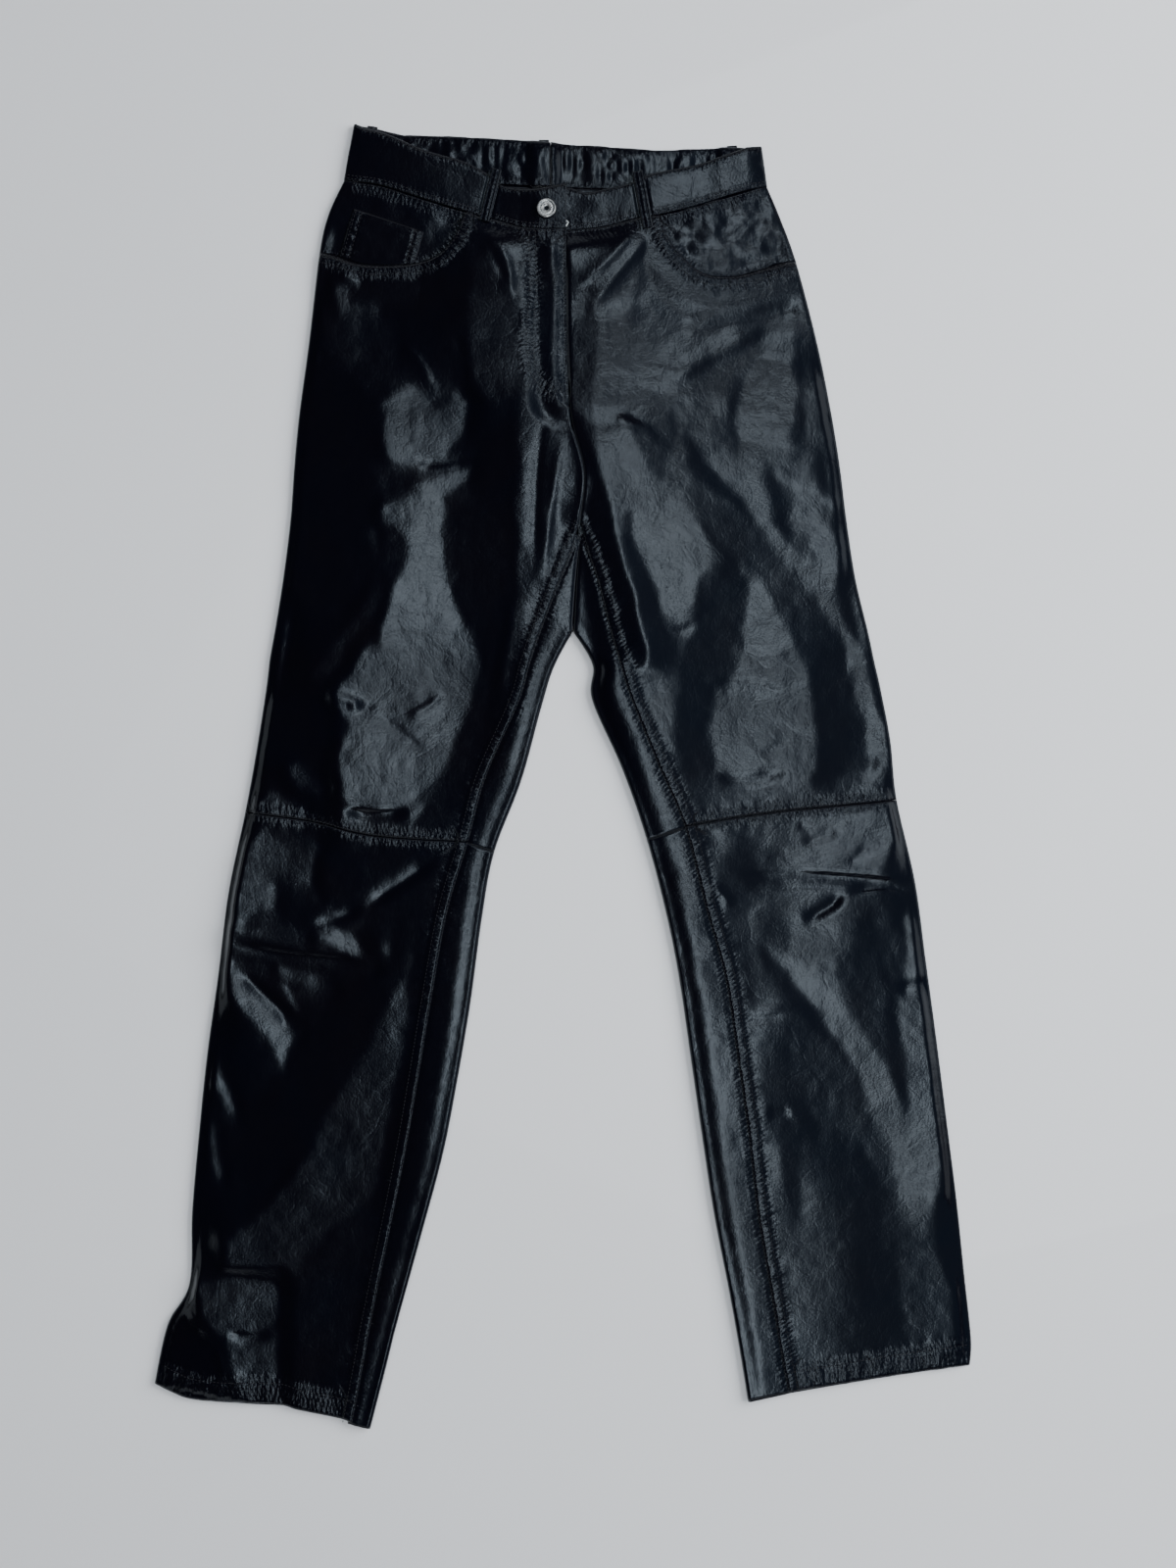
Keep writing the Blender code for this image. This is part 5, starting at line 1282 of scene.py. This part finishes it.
def leather_finish():
    graph = Graph("black_nappa")
    beside = graph.add("ShaderNodeAttribute", {"attribute_name": "beside_seam"}, output=1)
    along, away, strength = (
        graph.add("ShaderNodeSeparateXYZ", output=index, i0=beside) for index in range(3)
    )
    patch = graph.noise(60.0, 4.0)
    crinkle = graph.noise(190.0, 4.0)
    grain = graph.noise(520.0, 3.0)
    pores = graph.add(
        "ShaderNodeTexVoronoi", {"feature": "SMOOTH_F1"}, Vector=graph.place, Scale=900.0
    )
    # Puckers beside the seams: even waves, and longer uneven ones
    wander = graph.noise(90.0, 2.0) * 4.0
    pucker = (along * 1.6 + wander + away * 0.8).math("SINE") * strength
    stretched = graph.add(
        "ShaderNodeTexNoise", {"noise_dimensions": "2D"},
        Vector=graph.add("ShaderNodeCombineXYZ", X=along, Y=away * 0.3), Scale=0.32, Detail=3.0,
    )
    pucker = pucker * 0.14 + (stretched - 0.5) * strength * 2.8
    relief = crinkle * 0.05 + patch * 0.11 + grain * 0.07 + pores * 0.02 + pucker * 0.3
    # Creases of wear: wandering single ones, then a coarse and a fine net of them
    worn = graph.noise(21.0, 1.5) - 0.5
    relief = relief + worn.math("ABSOLUTE").math("SMOOTH_MIN", 0.018, 0.012) * (patch * 3.0)
    for scale, width, depth in ((34.0, 0.03, 1.2), (120.0, 0.1, 0.3)):
        shift = graph.add(
            "ShaderNodeTexNoise", output=1, Vector=graph.place, Scale=60.0, Detail=2.0
        )
        wandered = graph.add(
            "ShaderNodeVectorMath", {"operation": "MULTIPLY_ADD"},
            i0=shift, i1=(0.012,) * 3, i2=graph.place,
        )
        crease = graph.add(
            "ShaderNodeTexVoronoi", {"feature": "DISTANCE_TO_EDGE"}, Scale=scale, Vector=wandered
        )
        relief = relief + crease.math("SMOOTH_MIN", width, 0.6 * width) * (patch * depth)
    tint = graph.add(
        "ShaderNodeMix", {"data_type": "RGBA"}, output=2,
        i0=graph.noise(14.0, 3.0, 0.6).math("SMOOTH_MIN", 1.0, 0.1),
        i6=(0.0006, 0.0010, 0.0034, 1.0), i7=(0.0020, 0.0012, 0.0022, 1.0),
    )
    return graph.finish(
        Base_Color=tint, Roughness=0.12 + crinkle * 0.05 + patch * 0.04,
        Specular_IOR_Level=0.5, Specular_Tint=(0.82, 0.92, 1.0, 1.0),
        Normal=graph.add("ShaderNodeBump", Strength=1.0, Distance=0.001, Height=relief),
    )


def fine_finish(graph, texture, color, roughness, strength, distance, metallic=0.0):
    """A finish with one fine texture for its relief."""
    return graph.finish(
        Base_Color=(*color, 1.0), Metallic=metallic, Roughness=roughness,
        Normal=graph.add("ShaderNodeBump", Strength=strength, Distance=distance, Height=texture),
    )


def thread_finish():
    graph = Graph("black_thread")
    twist = graph.noise(2600.0, 2.0)
    return fine_finish(graph, twist, (0.012, 0.012, 0.014), 0.5 + twist * 0.25, 0.4, 0.0002)


def metal_finish():
    graph = Graph("brushed_silver")
    scuff = graph.noise(700.0, 3.0)
    return fine_finish(graph, scuff, (0.72, 0.72, 0.70), 0.2 + scuff * 0.18, 0.15, 0.0002, 1.0)


def tape_finish():
    graph = Graph("woven_tape")
    weave = graph.add("ShaderNodeTexWave", Vector=graph.place, Scale=500.0, Distortion=0.5)
    return fine_finish(graph, weave, (0.012, 0.012, 0.013), 0.85, 0.5, 0.0003)


def floor_finish():
    graph = Graph("pale_floor")
    tone = graph.add(
        "ShaderNodeMix", {"data_type": "RGBA"}, output=2, i0=graph.noise(3.0, 3.0),
        i6=(0.72, 0.725, 0.745, 1.0), i7=(0.76, 0.765, 0.78, 1.0),
    )
    return graph.finish(Base_Color=tone, Roughness=0.6)


# Stitches


def stitch_row(mesh, points):
    """Adds small threads along a row of points in millimetres."""
    walked = walked_length(points)
    count = int(walked[-1] / THREAD_STEP)
    middle = (np.arange(count) + 0.5) * walked[-1] / max(count, 1)
    half = 0.5 * THREAD_LENGTH
    for first, last in zip(
        read_at(middle - half, walked, points), read_at(middle + half, walked, points)
    ):
        way = Vector(last - first)
        turn = way.to_track_quat("X", "Z").to_matrix().to_4x4()
        size = Matrix.Diagonal((0.5 * way.length * MM, THREAD_RADIUS * MM, THREAD_RADIUS * MM, 1))
        middle_point = Vector(0.5 * (first + last)) * MM
        bmesh.ops.create_icosphere(
            mesh, subdivisions=1, radius=1.0,
            matrix=Matrix.Translation(middle_point) @ turn @ size,
        )


def front_rows(leg):
    """The stitch rows of a front's seams, laid on its leather."""
    for seam in SEAMS[leg.side]:
        for row in seam.rows:
            line = offset_line(seam.line, row)
            line = by_length(line, np.linspace(0.0, 1.0, max(12, len(line))))
            height = front_height(leg, line[:, None])[0][:, 0]
            yield with_height(line, height + THREAD_LIFT)


def sewn_rows(name, rows):
    mesh = bmesh.new()
    for row in rows:
        stitch_row(mesh, row)
    return new_object(name, mesh_data(name, mesh))


# Metal

BUTTON_PLACE = (-14.0, 506.5, 8.3)
BUTTON_PROFILE = (  # radius and height
    (2.2, 0.0), (4.0, 0.0), (4.0, 0.9), (7.7, 1.0), (8.3, 1.3), (8.5, 1.8), (8.45, 2.3),
    (8.1, 2.8), (7.6, 3.0), (7.0, 2.95), (6.6, 2.7), (6.2, 2.55), (5.2, 2.6), (4.6, 2.75),
    (4.1, 2.7), (3.7, 2.4), (3.4, 1.9), (2.9, 1.65), (2.2, 1.6),
)


def button_piece():
    """A ring-shaped shank button, turned, with a rolled rim and a dished face."""
    mesh = bmesh.new()
    ring = [mesh.verts.new((radius * MM, 0.0, height * MM)) for radius, height in BUTTON_PROFILE]
    edges = [mesh.edges.new(pair) for pair in zip(ring, ring[1:] + ring[:1])]
    bmesh.ops.spin(
        mesh, geom=ring + edges, cent=(0, 0, 0), axis=(0, 0, 1), angle=math.tau, steps=48,
        use_merge=True,
    )
    bmesh.ops.remove_doubles(mesh, verts=mesh.verts, dist=1e-6)
    bmesh.ops.recalc_face_normals(mesh, faces=mesh.faces)
    bmesh.ops.translate(mesh, verts=mesh.verts, vec=Vector(BUTTON_PLACE) * MM)
    item = new_object("silver_button", mesh_data("silver_button", mesh))
    item.data.set_sharp_from_angle(angle=math.radians(35))
    return item


# Dressing

leather = leather_finish()
thread = thread_finish()
metal = metal_finish()
tape = tape_finish()


def dress(item, material, slot, *nodes):
    item.data.materials.append(material)
    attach(item, "root")
    if nodes:
        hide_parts(*nodes)
    return item


def lay(item, flat, under, **area):
    dress(item, leather, "leather", item.name.removeprefix("leather_"))


# Cuts of the leather: width and length in metres, and the flat area, of the front above and below
# the knee and of the back above and below the knee
CUTS = {
    "right": ((0.262, 0.566, 0.125), (0.205, 0.52, 0.099), (0.29, 0.63, 0.148),
              (0.275, 0.53, 0.132)),
    "left": ((0.262, 0.556, 0.116), (0.205, 0.52, 0.094), (0.29, 0.62, 0.146),
             (0.28, 0.52, 0.135)),
}
for leg in LEGS:
    side = leg.side
    pieces = (  # each with what it lies on
        (front_thigh(leg), f"leather_back_thigh_{side}"),
        (front_shin(leg), f"leather_back_shin_{side}"),
        (back_shell(leg, "waist", "knee"), "floor"),
        (back_shell(leg, "knee", "hem"), "floor"),
    )
    for (piece, under), (width, length, area) in zip(pieces, CUTS[side]):
        lay(piece, (width, length), under, area=area)
    piece, band_rows = band_shell(leg)
    lay(piece, (0.40, 0.046), "floor", area=0.0165)
    dress(sewn_rows(f"stitches_waistband_{side}", band_rows), thread, "zip_tape")
    lay(facing_shell(leg), (0.13, 0.09), f"leather_back_thigh_{side}", area=0.0085)
    dress(sewn_rows(f"stitches_front_{side}", front_rows(leg)), thread, "zip_tape")
piece, coin_rows = coin_pocket_shell()
lay(piece, (0.07, 0.045), "leather_pocket_facing_right", area=0.0026)
dress(sewn_rows("stitches_coin_pocket", coin_rows), thread, "zip_tape")

heights = LOOP_HEIGHT + LOOP_LEATHER + LOOP_BULGE * np.sin(np.linspace(0.0, math.pi, 9))
for side, lean in (("right", 0.035), ("left", 0.08)):
    name = f"leather_belt_loop_front_{side}"
    piece = strap_shell(name, *FRONT_LOOPS[side], heights, lean=lean)
    lay(piece, (0.0102, 0.05), f"leather_waistband_{side}")
for name, x in BACK_LOOP_X.items():
    back = back_stations("left" if name == "left" else "right")
    top, low_x, low = read_at(x, back[:, 0], back[:, 1:4])
    piece = strap_shell(
        f"leather_belt_loop_back_{name}", (x, top + 3.0), (low_x, low + 0.5), np.full(5, 1.65), 1.05
    )
    lay(piece, (0.0102, 0.042), "floor")

dress(button_piece(), metal, "metal", "button")
for node, material in (("zip_tape", tape), ("zip_slider", metal), ("zip_pull", metal)):
    bpy.data.objects[node].data.materials.clear()
    bpy.data.objects[node].data.materials.append(material)


# Floor, light and camera

mesh = bmesh.new()
bmesh.ops.create_grid(mesh, x_segments=1, y_segments=1, size=4.0)
floor = new_object("floor", mesh_data("floor", mesh))
floor.location.z = -0.0005
floor.data.materials.append(floor_finish())


def soft_light(name, place, aim, size, power, color, in_gloss=True):
    lamp = bpy.data.lights.new(name, "AREA")
    lamp.shape = "RECTANGLE"
    lamp.size, lamp.size_y = size
    lamp.energy = power
    lamp.color = color
    item = new_object(name, lamp)
    item.location = place
    way = Vector(aim) - Vector(place)
    if way.xy.length > 0.0:
        item.rotation_euler = way.to_track_quat("-Z", "Y").to_euler()
    item.visible_glossy = in_gloss
    return item


PALE = (0.96, 0.98, 1.0)
WINDOW = ((2.3, 0.7, 1.5), (0.1, 0.05, 0.0), (2.6, 2.0))  # place, aim and size
soft_light("window", *WINDOW, 16.0, PALE)
soft_light("window_fill", *WINDOW, 160.0, PALE, False)
soft_light("room_fill", (-0.6, -0.2, 2.5), (-0.6, -0.2, 0.0), (3.0, 3.0), 40.0, PALE, False)
# Strips of the ceiling: left and right edge, radiance and colour
STRIPS = (
    (-0.05, 0.06, 1.3, (0.72, 0.87, 1.0)),
    (0.06, 0.14, 2.3, (0.82, 0.92, 1.0)),
    (0.14, 0.21, 5.2, (0.9, 0.95, 1.0)),
    (0.21, 0.30, 8.0, (0.93, 0.97, 1.0)),
    (0.30, 0.38, 3.4, (0.88, 0.94, 1.0)),
    (0.38, 0.50, 1.3, (0.78, 0.9, 1.0)),
)
# Pieces of each strip: lower and upper edge, and share of the strip's radiance
PIECES = (
    (-1.95, -1.12, 1.0), (-1.0, -0.36, 1.0), (-0.22, 0.1, 1.0), (0.27, 0.66, 1.0),
    (0.76, 0.96, 1.0), (0.98, 1.25, 0.05), (1.26, 1.95, 0.75),
)
WHOLE = (-1.95, 1.95, 1.0)
WIDE_STRIPS = (
    (0.50, 0.70, 0.45, (0.6, 0.8, 1.0)),
    (0.70, 1.0, 0.17, (0.55, 0.78, 1.0)),
    (1.0, 2.6, 0.17, (0.5, 0.76, 1.0)),
)
panels = [(strip, piece) for strip in STRIPS for piece in PIECES]
panels += [(strip, WHOLE) for strip in WIDE_STRIPS]
for (left, right, glow, color), (low, high, share) in panels:
    place = (0.5 * (left + right), 0.5 * (low + high), CEILING)
    size = (right - left, high - low)
    soft_light("ceiling", place, (place[0], place[1], 0.0), size,
               glow * share * math.pi * size[0] * size[1], color)
# Low pale walls show only in the sheen, and lift it where the leather is seen from the side.
WALL_DISTANCE = 3.2
for turn in range(4):
    angle = 0.5 * math.pi * turn
    place = (WALL_DISTANCE * math.cos(angle), WALL_DISTANCE * math.sin(angle), 1.3)
    wall = soft_light("wall", place, (0.0, 0.0, 0.0), (4.5, 1.8), 14.0, PALE)
    wall.visible_diffuse = False
    wall.visible_camera = False
world = bpy.data.worlds.new("room")
world.use_nodes = True
background = world.node_tree.nodes["Background"].inputs
background["Color"].default_value = (0.55, 0.72, 1.0, 1.0)
background["Strength"].default_value = 0.03
bpy.context.scene.world = world

VIEW_HEIGHT = 1.4035  # metres seen from top to bottom, at the leather's height
LEATHER_LEVEL = 0.0035
camera = bpy.data.cameras.new("camera")
camera.sensor_width = 36.0
camera.lens = (CAMERA_HEIGHT - LEATHER_LEVEL) * camera.sensor_width / VIEW_HEIGHT
camera.clip_start = 0.05
overhead = new_object("camera", camera)
overhead.location = (0.023, -0.0068, CAMERA_HEIGHT)
bpy.context.scene.camera = overhead
